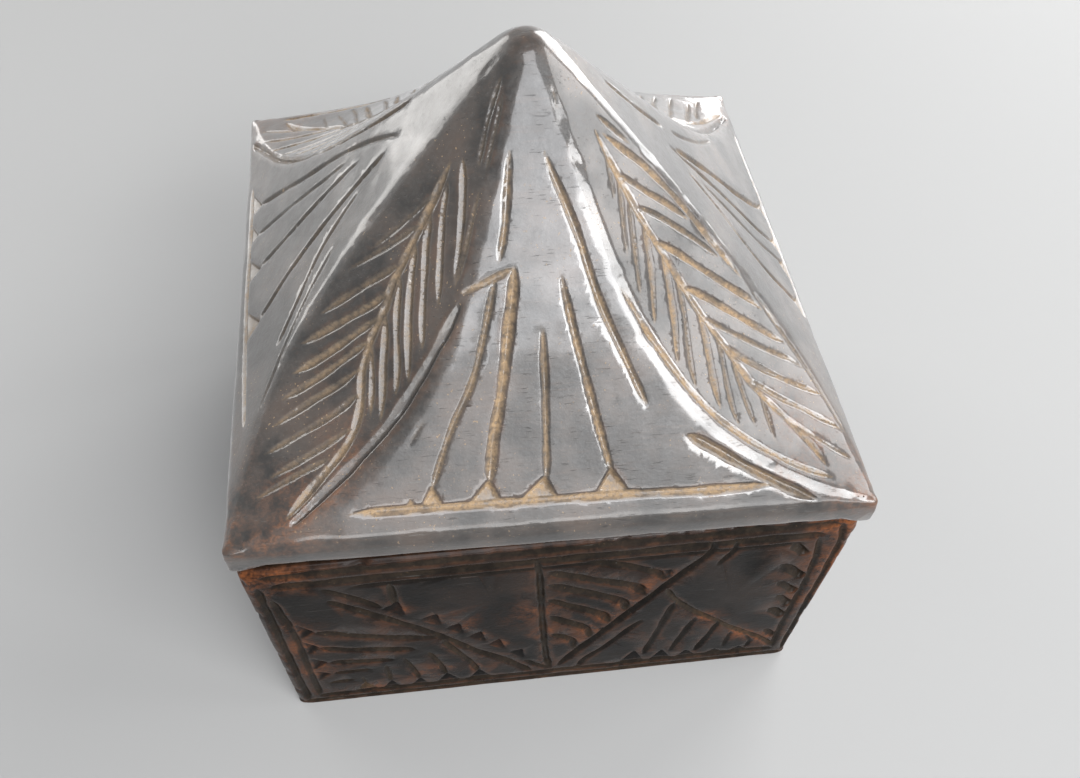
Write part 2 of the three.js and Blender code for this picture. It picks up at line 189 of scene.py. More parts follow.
# On a fan face a point is (distance along the rim from its middle, distance up the slope).
FRONT_FAN = Pattern(
    cuts=strokes(
        ((1.3, 0.55, 0.95, 0.5, 5, 6), (-28, 4.3), (-10, 4.2), (8, 4.1), (19, 3.8), (30, 3.9)),
        (
            (0.85, 0.4, 0.5, 0, 2, 6), (-16.6, 7), (-13.5, 14.5), (-10.5, 20), (-9, 24), (-7.5, 29),
            (-6, 34.5),
        ),
        (
            (1.35, 0.6, 0.95, 0, 2, 3), (-9, 7), (-8, 13), (-6.5, 19), (-5.5, 24), (-4.8, 28), (-4, 32),
            (-3.6, 35.5),
        ),
        ((0.9, 0.4, 0.6, 0, 4, 6), (-5.6, 35.5), (-4.5, 40), (-3.8, 45), (-3.2, 49.8)),
        ((0.8, 0.45, 0.6, 0, 2, 6), (-1.4, 7), (-1, 13), (-0.7, 20), (-0.5, 28)),
        ((0.9, 0.5, 0.8, 0, 2, 8), (7.4, 7.5), (6, 14), (4.8, 20), (3.8, 25), (3, 29.5), (2.2, 34.5)),
        (
            (0.95, 0.45, 0.65, 0, 4, 7), (12.9, 15.6), (11.5, 19), (9.5, 24), (7.5, 29), (6, 34), (5, 38),
            (3.5, 42.5), (2, 46.5), (0.9, 49.8),
        ),
        ((0.6, 0.25, 0.2), (3, 54.5), (2.7, 58)),
        ((1.5, 0.9, 0.6, 0.4, 3, 5), (17.8, 11.8), (22, 9.2), (25, 7.2), (29, 4.8), (33, 2.6), (36, 1.2)),
        ((1.1, 0.3, 0.6, 0, 3, 2), (-12, 31.8), (-8, 33.2), (-3.6, 35)),
        ((0.5, 0.2, 0.1), (-19.5, 12.5), (-16.5, 16.5)),
    ),
    chips=notches(
        ((-19.6, 5.9), (-20.6, 4.1), (-18.7, 4.1), 0.5, 0.8),
        ((-16.6, 7.6), (-18.6, 4.1), (-15.2, 4.1), 0.8, 0.95),
        ((-9, 7.8), (-12.4, 4.1), (-7.4, 4.1), 1.0, 0.95),
        ((-1.5, 7.7), (-5.6, 4.1), (0.1, 4.1), 1.0, 0.95),
        ((7.4, 8.2), (4.8, 4.1), (10, 4), 1.1, 0.95),
    ),
    spots=rubbings((-38, 4, 9, 0.8), (-30, 9, 6, 0.55), (42, 1, 5, 0.7)),
)
LEFT_FAN = Pattern(
    cuts=strokes(
        ((0.9, 0.35, 0.7, 0.4), (-24, 2.3), (0, 2.6), (12, 3.1), (27, 4.2)),
        (
            (1.3, 0.7, 0.4), (-36.5, 1.3), (-30, 6), (-25, 9.5), (-20, 15), (-15, 23), (-11, 31),
            (-8, 38), (-6, 44),
        ),
        (
            (0.9, 0.5, 0.15), (-17.6, 5), (-15, 12), (-13, 17), (-11, 23), (-9, 28), (-6.5, 33), (-4, 37),
            (-1, 41),
        ),
        ((0.7, 0.4, 0.15), (-10.7, 4.5), (-10, 10), (-9, 16), (-7.5, 23), (-6.3, 29)),
        ((0.8, 0.45, 0.15), (-2.6, 6), (-3.3, 14), (-3.9, 20), (-4.2, 27), (-4, 32)),
        ((0.9, 0.5, 0.2), (8.7, 6.8), (5.5, 13), (3.5, 18), (2, 23), (0.5, 30), (-0.5, 38)),
        ((0.7, 0.35, 0.2), (17.5, 12), (11, 18), (7, 22), (4, 27), (2, 32)),
        ((0.6, 0.25, 0.1), (26, 8), (18, 14.5), (12, 20.5), (8, 26)),
        ((1.1, 0.3, 0.9, 0, 0.5, 0.5), (-15.5, 11.4), (-14.3, 12.6)),
    ),
    chips=notches(
        ((-17.5, 5.6), (-22.8, 2.2), (-16.8, 2.4), 0.9, 0.3),
        ((-10.8, 5), (-15.4, 2.3), (-10, 2.4), 0.8, 0.3),
        ((-2.4, 6.5), (-6.9, 2.4), (-1.4, 2.6), 0.9, 0.5),
        ((8.9, 7.1), (4.6, 3), (10.8, 3), 1.0, 0.8),
    ),
    spots=rubbings((38, 5, 9, 0.5), (-38, 2, 5, 0.4)),
)
RIGHT_FAN = Pattern(
    cuts=strokes(
        ((0.9, 0.4, 0.4, 0.4), (-13, 2), (2, 2), (31, 2.5)),
        ((0.9, 0.45, 0.4), (-9.8, 2), (-10, 5), (-9, 12), (-6, 19), (-3.5, 24), (-1, 31)),
        ((0.7, 0.35, 0.2), (-1.4, 3), (-2, 12), (-1.2, 20), (-0.4, 27)),
        ((0.9, 0.45, 0.3), (2.8, 3.5), (2, 9), (2, 18), (1.7, 26), (1.3, 35)),
        ((1.2, 0.65, 0.45), (11, 3.6), (9, 8), (7, 14), (5.5, 21), (3.5, 28), (2, 33)),
        ((0.9, 0.45, 0.3), (2, 50), (3, 43), (5, 35)),
        ((0.7, 0.35, 0.2), (17, 17), (12, 22.5), (8, 28.5), (6, 33)),
        ((0.9, 0.45, 0.3), (27, 9), (24, 14), (18.5, 21.5), (13, 29), (9, 37)),
    ),
    chips=notches(
        ((-9.8, 4.6), (-13, 2), (-8.2, 2), 0.8, 0.6),
        ((-2, 4.8), (-4.8, 2), (-0.2, 2), 0.8, 0.6),
        ((2.8, 4.8), (0.8, 2), (5.2, 2), 0.8, 0.6),
        ((11, 5), (8.6, 2), (13.4, 2), 0.8, 0.6),
    ),
    spots=rubbings((-40, 3, 6, 0.6)),
)
# On a leaf facet a point is (distance across from its middle, distance up from the corner).
RIGHT_LEAF = Pattern(
    cuts=strokes(
        (
            (1.1, 0.5, 0.85, 0, 5, 4), (0.2, 64.5), (-0.2, 60), (-0.4, 55.5), (-0.6, 51), (-0.5, 43),
            (-0.6, 36), (-0.4, 30), (-0.8, 23), (-0.4, 17), (-0.4, 12), (-1.4, 8.6),
        ),
        ((0.7, 0.3, 0.4), (1.6, 66), (3.2, 62.3), (4.4, 59.8)),
        (
            (1.0, 0.4, 0.85, 0, 4, 5), (0.9, 63.6), (2.9, 59.6), (4.3, 57), (5.4, 54), (6.4, 51),
            (7.3, 47.5), (8.1, 43.5), (8.8, 39.5), (9.4, 35),
        ),
        (
            (0.7, 0.3, 0.35, 0, 4, 4), (9.6, 33), (9.7, 29), (9.3, 24), (8.6, 19.5), (7.6, 15), (6.3, 11),
            (4.6, 7),
        ),
        ((0.9, 0.4, 0.65, 0, 3, 4), (-0.2, 58.2), (2.3, 54), (4.7, 50.4), (6.7, 46.6)),
        ((0.8, 0.35, 0.45, 0, 3, 4), (-0.5, 53.4), (2, 50.3), (4.3, 46.7), (6.4, 42.9), (8, 39.4)),
        (
            (1.0, 0.5, 0.9, 0, 3, 4), (-0.5, 47.8), (1.9, 44.2), (4, 40.3), (6.1, 36.3), (8.1, 32.5),
            (9.1, 29.6),
        ),
        ((1.05, 0.5, 0.9, 0, 3, 4), (-0.4, 40.4), (2.3, 36.2), (4.6, 31.9), (6.7, 27.8), (8.6, 23.8)),
        (
            (0.8, 0.35, 0.5, 0, 3, 4), (-0.6, 35.5), (1.1, 32.3), (3, 29.1), (5, 25.6), (7.1, 22.1),
            (8.3, 19.1),
        ),
        (
            (1.0, 0.45, 0.75, 0, 3, 4), (-0.5, 30.6), (0.6, 27.6), (2.2, 24.2), (4, 20.7), (5.8, 17.6),
            (7.3, 14.9),
        ),
        ((0.9, 0.4, 0.6, 0, 3, 4), (-0.7, 24.7), (1, 20), (2.9, 15.9), (4.3, 12.4), (5.4, 9.6)),
        ((0.8, 0.3, 0.5, 0, 3, 4), (-0.6, 18.4), (0.6, 13.4), (1.7, 9.4), (2.6, 6)),
        ((0.6, 0.25, 0.3), (-0.4, 61), (-1.6, 58.2), (-3, 55.4)),
        ((0.75, 0.3, 0.4, 0, 2, 4), (-0.3, 57.7), (-1.9, 55.2), (-4, 52.1), (-5.9, 49)),
        ((0.75, 0.3, 0.4, 0, 2, 4), (-0.6, 54.4), (-2.8, 51.3), (-5.3, 47.4), (-7.6, 43.8)),
        ((0.9, 0.4, 0.6, 0, 2, 4), (-0.6, 50.8), (-2, 48.3), (-4, 45), (-6, 42.4), (-8.3, 39.6)),
        (
            (1.0, 0.45, 0.8, 0, 2, 4), (-0.4, 46.4), (-2, 42.9), (-3.6, 40.4), (-5.4, 37.7), (-7.2, 35.6),
            (-8.9, 33.4),
        ),
        ((0.8, 0.35, 0.45, 0, 2, 4), (-0.5, 42), (-2.6, 38.4), (-4.9, 35.1), (-7.1, 32.2), (-8.8, 29.4)),
        ((1.0, 0.45, 0.75, 0, 2, 4), (-0.6, 36.6), (-2, 33.8), (-3.9, 30.8), (-5.9, 28), (-7.9, 24.9)),
        ((0.8, 0.35, 0.5, 0, 2, 4), (-0.4, 32.1), (-2.1, 29.4), (-4.2, 26.6), (-6.1, 23.8), (-7.3, 21.4)),
        ((0.8, 0.35, 0.45, 0, 2, 4), (-0.4, 28.5), (-1.9, 26.1), (-3.5, 23.2), (-5.3, 19.6)),
        ((0.7, 0.25, 0.3, 0, 2, 4), (-0.8, 22), (-2.6, 19.2), (-4.8, 15.9)),
        (
            (1.0, 0.4, 0.9, 0, 5, 4), (-9.3, 49), (-9.8, 38), (-9.7, 30), (-9.2, 25), (-8.2, 21),
            (-6.9, 17), (-5.3, 13), (-3.8, 10), (-2, 7),
        ),
    ),
    spots=rubbings((-1, 13, 7, 0.6), (2, 17, 5, 0.35), (0, 4, 5, 0.7)),
)
LEFT_LEAF = Pattern(
    cuts=strokes(
        ((0.8, 0.35, 0.14), (0.3, 73), (1.4, 67), (3, 61.5)),
        ((0.7, 0.3, 0.1), (1.6, 71), (3, 66), (4.2, 61.5)),
        (
            (1.35, 0.5, 0.63, 0, 6, 4), (-1, 61), (-0.9, 55), (-1, 49), (-1, 43), (-0.4, 39.5),
            (-0.2, 35.6), (0.3, 33.2), (1.2, 30.4), (2.7, 28), (4, 25.5), (4.8, 22.5), (4.8, 19.5),
            (4.5, 15.9), (4.2, 12), (4.1, 8.5),
        ),
        ((1.15, 0.55, 0.32, 0, 3, 4), (0.2, 62), (2.3, 58.4), (4.2, 54.6), (5.9, 50.6), (6.9, 47.6)),
        ((1.1, 0.5, 0.28, 0, 3, 4), (-0.3, 58.5), (1.2, 54.4), (3, 50.6), (4.8, 47), (6.8, 43.2)),
        ((1.2, 0.55, 0.35, 0, 3, 4), (-0.6, 54), (0.8, 50), (2.8, 46), (5, 41.7), (7.4, 37.6)),
        ((1.25, 0.6, 0.45, 0, 3, 4), (-0.7, 49.4), (0.9, 45.4), (2.9, 41.2), (5.2, 37.2), (7.8, 33)),
        ((1.15, 0.55, 0.42, 0, 3, 4), (-0.6, 44.6), (1, 41), (3, 37.4), (5.2, 34.2), (7.2, 30.6)),
        ((1.2, 0.55, 0.45, 0, 3, 4), (-0.3, 39.5), (1.6, 36.4), (3.4, 33), (5.3, 30), (7.2, 26.6)),
        ((1.0, 0.45, 0.42, 0, 3, 4), (0, 35), (1.5, 32.6), (3.2, 30.3), (5.6, 26.3)),
        (
            (1.5, 0.85, 0.07, 0.4, 5, 4), (9, 46), (9, 38), (8.8, 33), (8.4, 27), (7.9, 24), (6.8, 18),
            (5.8, 13), (5, 7.5),
        ),
        ((0.8, 0.3, 0.24, 0, 4, 3), (4.4, 59.4), (5.4, 55.6), (6.6, 51), (7.4, 46.8)),
        ((0.8, 0.3, 0.14, 0, 3, 4), (-1, 56.4), (-2.6, 52.6), (-4.6, 48.6), (-6.4, 45.2)),
        ((0.9, 0.35, 0.21, 0, 3, 4), (-1.1, 51.8), (-3.4, 48), (-6, 44.3), (-8.2, 41.2)),
        ((1.1, 0.5, 0.32, 0, 3, 4), (-1.1, 46), (-3.2, 43), (-5, 40.3), (-7.2, 36.9), (-8.9, 33.9)),
        ((1.2, 0.55, 0.52, 0, 3, 4), (-0.7, 42), (-2.7, 38.6), (-4.9, 35.4), (-7.2, 32), (-9.3, 28.9)),
        ((1.2, 0.55, 0.49, 0, 3, 4), (-0.3, 38.5), (-1.9, 35.7), (-3.7, 32.3), (-5.8, 28.4), (-8, 24.8)),
        ((1.1, 0.5, 0.45, 0, 3, 4), (-0.2, 34.8), (-1.5, 32.2), (-3, 29), (-4.7, 25.6), (-7.2, 21)),
        ((1.1, 0.5, 0.39, 0, 3, 4), (0.6, 31), (-0.9, 27.6), (-2.7, 24.3), (-4.3, 21), (-6, 17.2)),
        ((1.0, 0.45, 0.32, 0, 3, 4), (2.4, 28.2), (0.8, 24), (-1.4, 19.7), (-3.3, 16), (-4.5, 13.5)),
        ((1.0, 0.4, 0.32, 0, 3, 4), (4.2, 24), (2.3, 19.8), (0.3, 15.6), (-1.9, 11.2)),
        ((0.9, 0.4, 0.32, 0, 3, 4), (4, 18.8), (1.5, 14.5), (-0.2, 10.9), (-1.5, 8)),
    ),
    spots=rubbings((2, 9, 6, 0.7), (-1, 3, 5, 0.7), (6, 20, 3, 0.5), (3, 22, 4, 0.4)),
)
# On a wall a point is (distance along the wall from its middle, height above the table).
WALL = Pattern(
    cuts=strokes(
        ((1.7, 0.6, 0.15, 0.2), (-43, 1.4), (0, 1.3), (43.4, 1.2)),
        ((1.8, 0.65, 0.1, 0.6), (-40.4, 3.5), (0, 3.5), (41.2, 3.5)),
        ((1.5, 0.65, 0.1), (-42.2, 47), (-42.3, 25), (-42.2, 1.5)),
        ((1.3, 0.55, 0.1), (-41, 43), (-40.6, 38), (-39.9, 30), (-40, 15), (-40, 3.5)),
        ((1.5, 0.75, 0.1), (41.2, 50), (42.5, 42), (42.9, 20), (43.2, 2)),
        ((1.2, 0.6, 0.1), (38.5, 46.5), (39.7, 40), (40.3, 30), (40.4, 16), (41, 4)),
        ((2.2, 0.65, 0.1, 0.5), (-40.5, 46.7), (0, 46.8), (39.5, 46.9)),
        ((1.7, 0.5, 0.1, 0.5), (-41.5, 49.5), (0, 49.7), (41, 49.7)),
        ((0.9, 0.4, 0.05), (-30, 44.7), (0, 44.8), (37, 44.9)),
        ((1.4, 0.75, 0.1), (-3.2, 47.6), (-2.6, 42), (-1.8, 28), (-1, 16), (-0.4, 9), (0.3, 5)),
        (
            (1.7, 0.75, 0.1), (-33.6, 41), (-28, 35), (-21.5, 28.3), (-17, 22.5), (-12, 16), (-8, 11.5),
            (-3, 4.6),
        ),
        ((1.4, 0.6, 0.1), (-34, 45), (-30, 41.3), (-26, 36.8)),
        ((1.2, 0.55, 0.1), (-4.6, 10.5), (-2.5, 7.8), (0.2, 4.8)),
        ((1.4, 0.6, 0.15), (-24.2, 44.6), (-23.9, 36)),
        ((1.9, 0.8, 0.1), (-37, 30.2), (-33, 28.6), (-29, 26.8), (-25, 25.3), (-21, 24.2), (-18.5, 23.6)),
        ((1.8, 0.75, 0.1), (-37.2, 24.2), (-33, 22.4), (-27, 21), (-22.2, 19.8)),
        ((1.6, 0.7, 0.1), (-36.5, 18), (-31, 17), (-25.8, 16.5)),
        ((1.3, 0.55, 0.1), (-36.5, 13.2), (-30, 13.4)),
        ((1.2, 0.5, 0.15), (-38, 9), (-33, 9.6)),
        ((1.2, 0.6, 0.15), (-18, 22.5), (-16.5, 19), (-15, 15.5), (-13.5, 11.5), (-12.2, 7)),
        ((1.1, 0.55, 0.15), (-20.5, 18.3), (-19, 13.5), (-17.8, 7)),
        ((1.1, 0.55, 0.15), (-24.6, 17), (-23.3, 11), (-22.4, 6.5)),
        ((1.0, 0.5, 0.15), (-27.7, 14.5), (-27.4, 7)),
        ((0.9, 0.4, 0.15), (-32, 10.5), (-31.8, 6.5)),
        ((1.9, 0.8, 0.1), (4, 45.3), (8, 43.8), (12, 41.8), (15.2, 39.4), (16.8, 36.8)),
        ((2.0, 0.85, 0.1), (-1.6, 43.2), (2, 41.2), (6, 39), (10, 37), (12.7, 35), (14.2, 32)),
        ((2.0, 0.85, 0.1), (-1.4, 38.9), (1, 37.4), (5, 34.8), (9, 32), (11.2, 29.5), (11.9, 26.5)),
        ((1.9, 0.8, 0.1), (-1.2, 33.9), (2, 31), (5, 28.6), (8, 25.8), (9.6, 22.3)),
        ((1.8, 0.75, 0.1), (-0.8, 27.8), (1, 25.7), (3.5, 23.5), (5.7, 21), (6.8, 17)),
        ((1.5, 0.65, 0.1), (-0.3, 20.4), (2, 18.6), (3.6, 16.6), (4.3, 12.8)),
        (
            (1.6, 0.8, 0.05), (1.6, 6), (5.5, 13.5), (8, 18), (10.7, 22.8), (13, 27), (17, 34.5),
            (21, 41.5), (22.9, 45.3), (22.2, 48),
        ),
        ((1.2, 0.6, 0.05), (5, 4), (6.5, 8), (9, 11.7), (11, 15.3), (13, 19), (15.2, 22.6)),
        ((1.2, 0.6, 0.05), (24.2, 40), (26.2, 45), (25.6, 48.2)),
        (
            (1.3, 0.6, 0.2), (17.4, 33.7), (19, 30), (21.2, 26.5), (24, 23), (27, 20), (30, 16.5),
            (34, 12.5), (38, 8.7), (41, 4.6),
        ),
        ((1.3, 0.65, 0.05), (19.6, 28), (18.8, 22), (17.8, 14), (16.8, 7)),
        ((1.2, 0.6, 0.05), (24.2, 21.5), (23, 15), (21.5, 7)),
        ((1.3, 0.65, 0.05), (28.6, 18.5), (27.5, 12), (26.2, 6)),
        ((0.9, 0.4, 0.05), (31.7, 13.8), (31.2, 6.5)),
        ((0.9, 0.45, 0.05), (34.3, 11.2), (36, 8.3), (35.5, 5)),
        ((1.9, 0.8, 0.1, 0.3, 1.2, 0.3), (34.9, 44.6), (37.7, 41)),
        ((2.1, 0.85, 0.1, 0.3, 1.6, 0.3), (34.6, 38.2), (39.2, 33)),
        ((2.0, 0.85, 0.1, 0.3, 1.4, 0.3), (35.6, 32), (39.4, 27.5)),
        ((2.0, 0.8, 0.1, 0.3, 1.4, 0.3), (36.6, 26.9), (39.8, 22.3)),
        ((2.0, 0.8, 0.1, 0.3, 1.4, 0.3), (36.5, 21.8), (39.7, 18)),
        ((1.3, 0.5, 0.1, 0.3, 1.2, 0.3), (37.6, 12.8), (40, 9.6)),
    ),
    chips=notches(
        ((-23.4, 38), (-26.3, 36.3), (-22.6, 32.3), 0.9),
        ((-18.1, 32.8), (-21, 31.3), (-17.4, 27.8), 0.9),
        ((-14.8, 28.4), (-17.2, 27), (-14.1, 23.8), 0.9),
        ((-11.5, 24.4), (-13.8, 22.8), (-10.6, 19.4), 0.9),
        ((-8.6, 20.6), (-10.6, 18.7), (-7.4, 15.6), 0.85),
        ((-4.8, 15.2), (-7.2, 14.6), (-4.2, 10.8), 0.8),
        ((-12.2, 8), (-14.4, 3.8), (-10, 3.8), 0.8),
        ((-17.8, 7.8), (-20, 3.8), (-15.3, 3.8), 0.8),
        ((-22.4, 7.2), (-24.4, 3.8), (-21.1, 3.8), 0.75),
        ((-27.3, 7.4), (-29.3, 3.8), (-26, 3.8), 0.75),
        ((-31.8, 7.8), (-34, 3.8), (-29.7, 3.8), 0.75, 0.5),
        ((-36.8, 30.4), (-39.4, 28.4), (-39.4, 34), 0.8),
        ((-37, 24.4), (-39.4, 21.6), (-39.4, 27.4), 0.8),
        ((-36.6, 18), (-39.4, 15.6), (-39.4, 20.6), 0.75),
        ((-36.8, 13.2), (-39.4, 10.6), (-39.4, 15), 0.7),
        ((15, 9.2), (12.6, 3.8), (17.3, 3.8), 0.9),
        ((20, 8.4), (18.2, 3.8), (22.3, 3.8), 0.85),
        ((24.6, 7), (22.9, 3.8), (26.9, 3.8), 0.8),
        ((30, 6), (28, 3.8), (32, 3.8), 0.6),
        ((34.4, 6), (32.5, 3.8), (36.6, 3.8), 0.7),
        ((17.6, 40.2), (15.4, 40.2), (17.4, 35.6), 0.6),
        ((8.6, 20.8), (7.4, 20.8), (9.4, 17.2), 0.6),
    ),
    spots=rubbings(
        (-44, 50, 5, 0.9), (-40, 50, 6, 0.6), (41, 49, 4.5, 1.0), (44, 38, 6, 0.9), (44, 26, 5, 0.7),
        (-38.5, 25, 3.5, 0.75), (-38.5, 15, 3.5, 0.6), (-38.5, 33, 3, 0.5), (13.6, 34.6, 2.2, 0.9),
        (11.4, 30.4, 2.2, 0.9), (16.6, 38.6, 2, 0.6), (8.6, 25, 2, 0.7), (6.2, 20.5, 2, 0.8),
        (4.2, 16.5, 2, 0.7), (-17.8, 30.5, 1.8, 0.7), (-14.6, 26.6, 1.8, 0.7), (-11, 22.4, 1.8, 0.7),
        (-8.2, 18.6, 1.8, 0.7), (-23, 35.5, 1.8, 0.6), (-1.9, 30, 2.5, 0.6), (-1.5, 22, 2.5, 0.6),
        (26, 21, 3, 0.6), (34, 12.5, 3.5, 0.8), (38, 8.5, 3, 0.8), (-30.6, 5, 2.2, 0.9),
        (-12.5, 9.5, 1.6, 0.8), (-22.8, 9, 1.6, 0.6), (-18.4, 11, 1.6, 0.6),
    ),
)


class Bench:
    """Blender's mesh tools, used on one blank at a time as they are by hand."""

    @staticmethod
    def take_up(piece: bpy.types.Object) -> None:
        """Makes a piece the only selected and the active one."""
        bpy.ops.object.select_all(action="DESELECT")
        piece.select_set(True)
        bpy.context.view_layer.objects.active = piece

    @staticmethod
    def block(name: str, half: float, bottom: float, top: float) -> bpy.types.Object:
        """Adds a square block that stands on the axis.

        Args:
            name: The new object's name.
            half: Half its width.
            bottom: Its lowest height.
            top: Its highest height.

        Returns:
            The block, with its place and size in its mesh.
        """
        bpy.ops.object.select_all(action="DESELECT")
        bpy.ops.mesh.primitive_cube_add(
            size=1.0,
            location=(0.0, 0.0, (bottom + top) / 2 * MM),
            scale=(2 * half * MM, 2 * half * MM, (top - bottom) * MM),
        )
        piece = bpy.context.object
        piece.name = name
        piece.data.name = name
        bpy.ops.object.transform_apply(location=True, rotation=True, scale=True)
        return piece

    @staticmethod
    def pick(piece: bpy.types.Object, kind: str, wanted: Callable[[Vector, Vector], bool]) -> None:
        """Selects, in edit mode, the corners, edges or faces that pass a test.

        Args:
            piece: The blank.
            kind: VERT, EDGE or FACE.
            wanted: The test, on the middle (mm) and a face's normal or an edge's direction.
        """
        bpy.ops.mesh.select_mode(type=kind)
        mesh = bmesh.from_edit_mesh(piece.data)
        for vert in mesh.verts:
            vert.select_set(False)
        if kind == "FACE":
            for face in mesh.faces:
                face.select_set(wanted(face.calc_center_median() / MM, face.normal))
        elif kind == "EDGE":
            for edge in mesh.edges:
                start, end = (vert.co for vert in edge.verts)
                edge.select_set(wanted((start + end) / 2 / MM, (end - start).normalized()))
        else:
            for vert in mesh.verts:
                vert.select_set(wanted(vert.co / MM, vert.normal))
        bmesh.update_edit_mesh(piece.data)

    @classmethod
    def round_uprights(
        cls,
        piece: bpy.types.Object,
        radius: float,
        segments: int,
        inner_half: float = 0.0,
        outer: bool = True,
    ) -> None:
        """Bevels the upright edges outside, or inside, a square of some half width.

        Args:
            piece: The blank.
            radius: The bevel's size.
            segments: How many steps it has.
            inner_half: Half the width that tells the two sets of edges apart.
            outer: Whether the edges outside that square are the ones meant.
        """
        cls.take_up(piece)
        bpy.ops.object.mode_set(mode="EDIT")
        cls.pick(
            piece,
            "EDGE",
            lambda middle, way: abs(way.z) > UPRIGHT and (abs(middle.x) > inner_half) == outer,
        )
        bpy.ops.mesh.bevel(offset=radius * MM, segments=segments, affect="EDGES")
        bpy.ops.object.mode_set(mode="OBJECT")

    @classmethod
    def raise_sections(
        cls, piece: bpy.types.Object, heights: Sequence[float], sections: Sequence[Pair]
    ) -> None:
        """Draws the top face of an eight-sided blank up through level sections.

        Args:
            piece: The blank. Its top already has the first section.
            heights: The height of each section.
            sections: The distance of the sides from the axis and half their width, for each.
        """
        cls.take_up(piece)
        bpy.ops.object.mode_set(mode="EDIT")
        for level in range(1, len(heights)):
            under, here = heights[level - 1], heights[level]
            cls.pick(piece, "FACE", lambda middle, _: abs(middle.z - under) < LEVEL_GAP)
            rise = (here - under) * MM
            bpy.ops.mesh.extrude_region_move(TRANSFORM_OT_translate={"value": (0.0, 0.0, rise)})
            reach, half = (now / then for now, then in zip(sections[level], sections[level - 1]))
            for lengthwise in (True, False):
                cls.pick(
                    piece,
                    "VERT",
                    lambda middle, _: abs(middle.z - here) < LEVEL_GAP
                    and (abs(middle.x) > abs(middle.y)) == lengthwise,
                )
                scale = (reach, half, 1.0) if lengthwise else (half, reach, 1.0)
                bpy.ops.transform.resize(value=scale, center_override=(0.0, 0.0, 0.0))
        bpy.ops.object.mode_set(mode="OBJECT")

    @classmethod
    def join_with(cls, piece: bpy.types.Object, other: bpy.types.Object, operation: str) -> None:
        """Joins another blank to a piece, or cuts it out, and throws the other away."""
        settings = {"operation": operation, "object": other, "solver": "EXACT"}
        cls.finish_with(piece, "BOOLEAN", settings)
        bpy.data.objects.remove(other)

    @classmethod
    def finish_with(cls, piece: bpy.types.Object, kind: str, settings: dict[str, object]) -> None:
        """Adds a modifier with its settings and applies it at once."""
        cls.take_up(piece)
        modifier = piece.modifiers.new("finish", kind)
        for name, value in settings.items():
            setattr(modifier, name, value)
        bpy.ops.object.modifier_apply(modifier="finish")


@dataclass(frozen=True)
class Layout:
    """Where points lie on a face, in millimetres, and which way is straight into it."""

    across: np.ndarray
    along: np.ndarray
    below: np.ndarray
    inward: np.ndarray


@dataclass(frozen=True)
class CarvedFace:
    """A face of the piece with its pattern. Its subclasses say how points are laid out on it."""

    side: Side
    pattern: Pattern

    def turned(self, points: np.ndarray) -> np.ndarray:
        """The points with this face's side turned round to the front."""
        x, y, z = points.T
        turned_x, turned_y = ((x, y), (y, -x), (-x, -y), (-y, x))[self.side.value]
        return np.stack([turned_x, turned_y, z], axis=1)

    def turned_back(self, ways: np.ndarray) -> np.ndarray:
        """Directions given with this side at the front, as they are on the piece."""
        x, y, z = ways.T
        back_x, back_y = ((x, y), (-y, x), (-x, -y), (y, -x))[self.side.value]
        return np.stack([back_x, back_y, z], axis=1)

    def lay_out(self, points: np.ndarray) -> Layout:
        """Lays points out on this face."""
        raise NotImplementedError


@dataclass(frozen=True)
class FlatFace(CarvedFace):
    """A flat face over the front arris at some distance and height, leaning in by an angle."""

    arris_distance: float
    arris_height: float
    lean: float

    def lay_out(self, points: np.ndarray) -> Layout:
        """Lays points out on this face.

        Args:
            points: Places in millimetres.

        Returns:
            The distance from the middle, the distance up from the arris, and that below.
        """
        x, y, z = self.turned(points).T
        back = y + self.arris_distance
        up = z - self.arris_height
        sine, cosine = math.sin(self.lean), math.cos(self.lean)
        inward = self.turned_back(np.array([[0.0, cosine, -sine]]))
        return Layout(x, back * sine + up * cosine, back * cosine - up * sine, inward)


@dataclass(frozen=True)
class LeafFace(CarvedFace):
    """The long facet down the corner at the right end of a side, curved from top to bottom."""

    distances: np.ndarray
    heights: np.ndarray

    def lay_out(self, points: np.ndarray) -> Layout:
        """Lays points out on this facet.

        Args:
            points: Places in millimetres.

        Returns:
            The distance right of the facet's middle, that up its curve, and that below it.
        """
        x, y, z = self.turned(points).T
        across = (x + y) / math.sqrt(2)
        place = np.stack([(x - y) / math.sqrt(2), z], axis=1)
        curve = np.stack([self.distances, self.heights], axis=1)
        runs = np.diff(curve, axis=0)
        lengths = np.linalg.norm(runs, axis=1)
        ways = runs / lengths[:, None]
        starts = np.concatenate([[0.0], np.cumsum(lengths)[:-1]])
        middles = (curve[:-1] + curve[1:]) / 2
        nearest = np.empty(len(place), int)
        for first in range(0, len(place), CHUNK):
            chunk = place[first : first + CHUNK]
            gaps = ((chunk[:, None, :] - middles[None]) ** 2).sum(axis=2)
            nearest[first : first + CHUNK] = gaps.argmin(axis=1)
        offset = place - curve[nearest]
        way = ways[nearest]
        along = starts[nearest] + (offset * way).sum(axis=1)
        inside = np.stack([-way[:, 1], way[:, 0]], axis=1)
        below = (offset * inside).sum(axis=1)
        flat = inside[:, 0] / math.sqrt(2)
        inward = self.turned_back(np.stack([flat, -flat, inside[:, 1]], axis=1))
        return Layout(across, along, below, inward)


def held(values: np.ndarray) -> np.ndarray:
    """The numbers kept between 0 and 1."""
    return np.clip(values, 0.0, 1.0)


def fading(gap: np.ndarray, start: float, length: float) -> np.ndarray:
    """1 at a place and 0 away from it: it falls from a start by 1 over each length."""
    return held(start - gap / length)


def rising(gap: np.ndarray, lead: float, length: float) -> np.ndarray:
    """0 before a place and 1 beyond it: it rises by 1 over a length, and begins a lead before."""
    return held((gap + lead) / length)


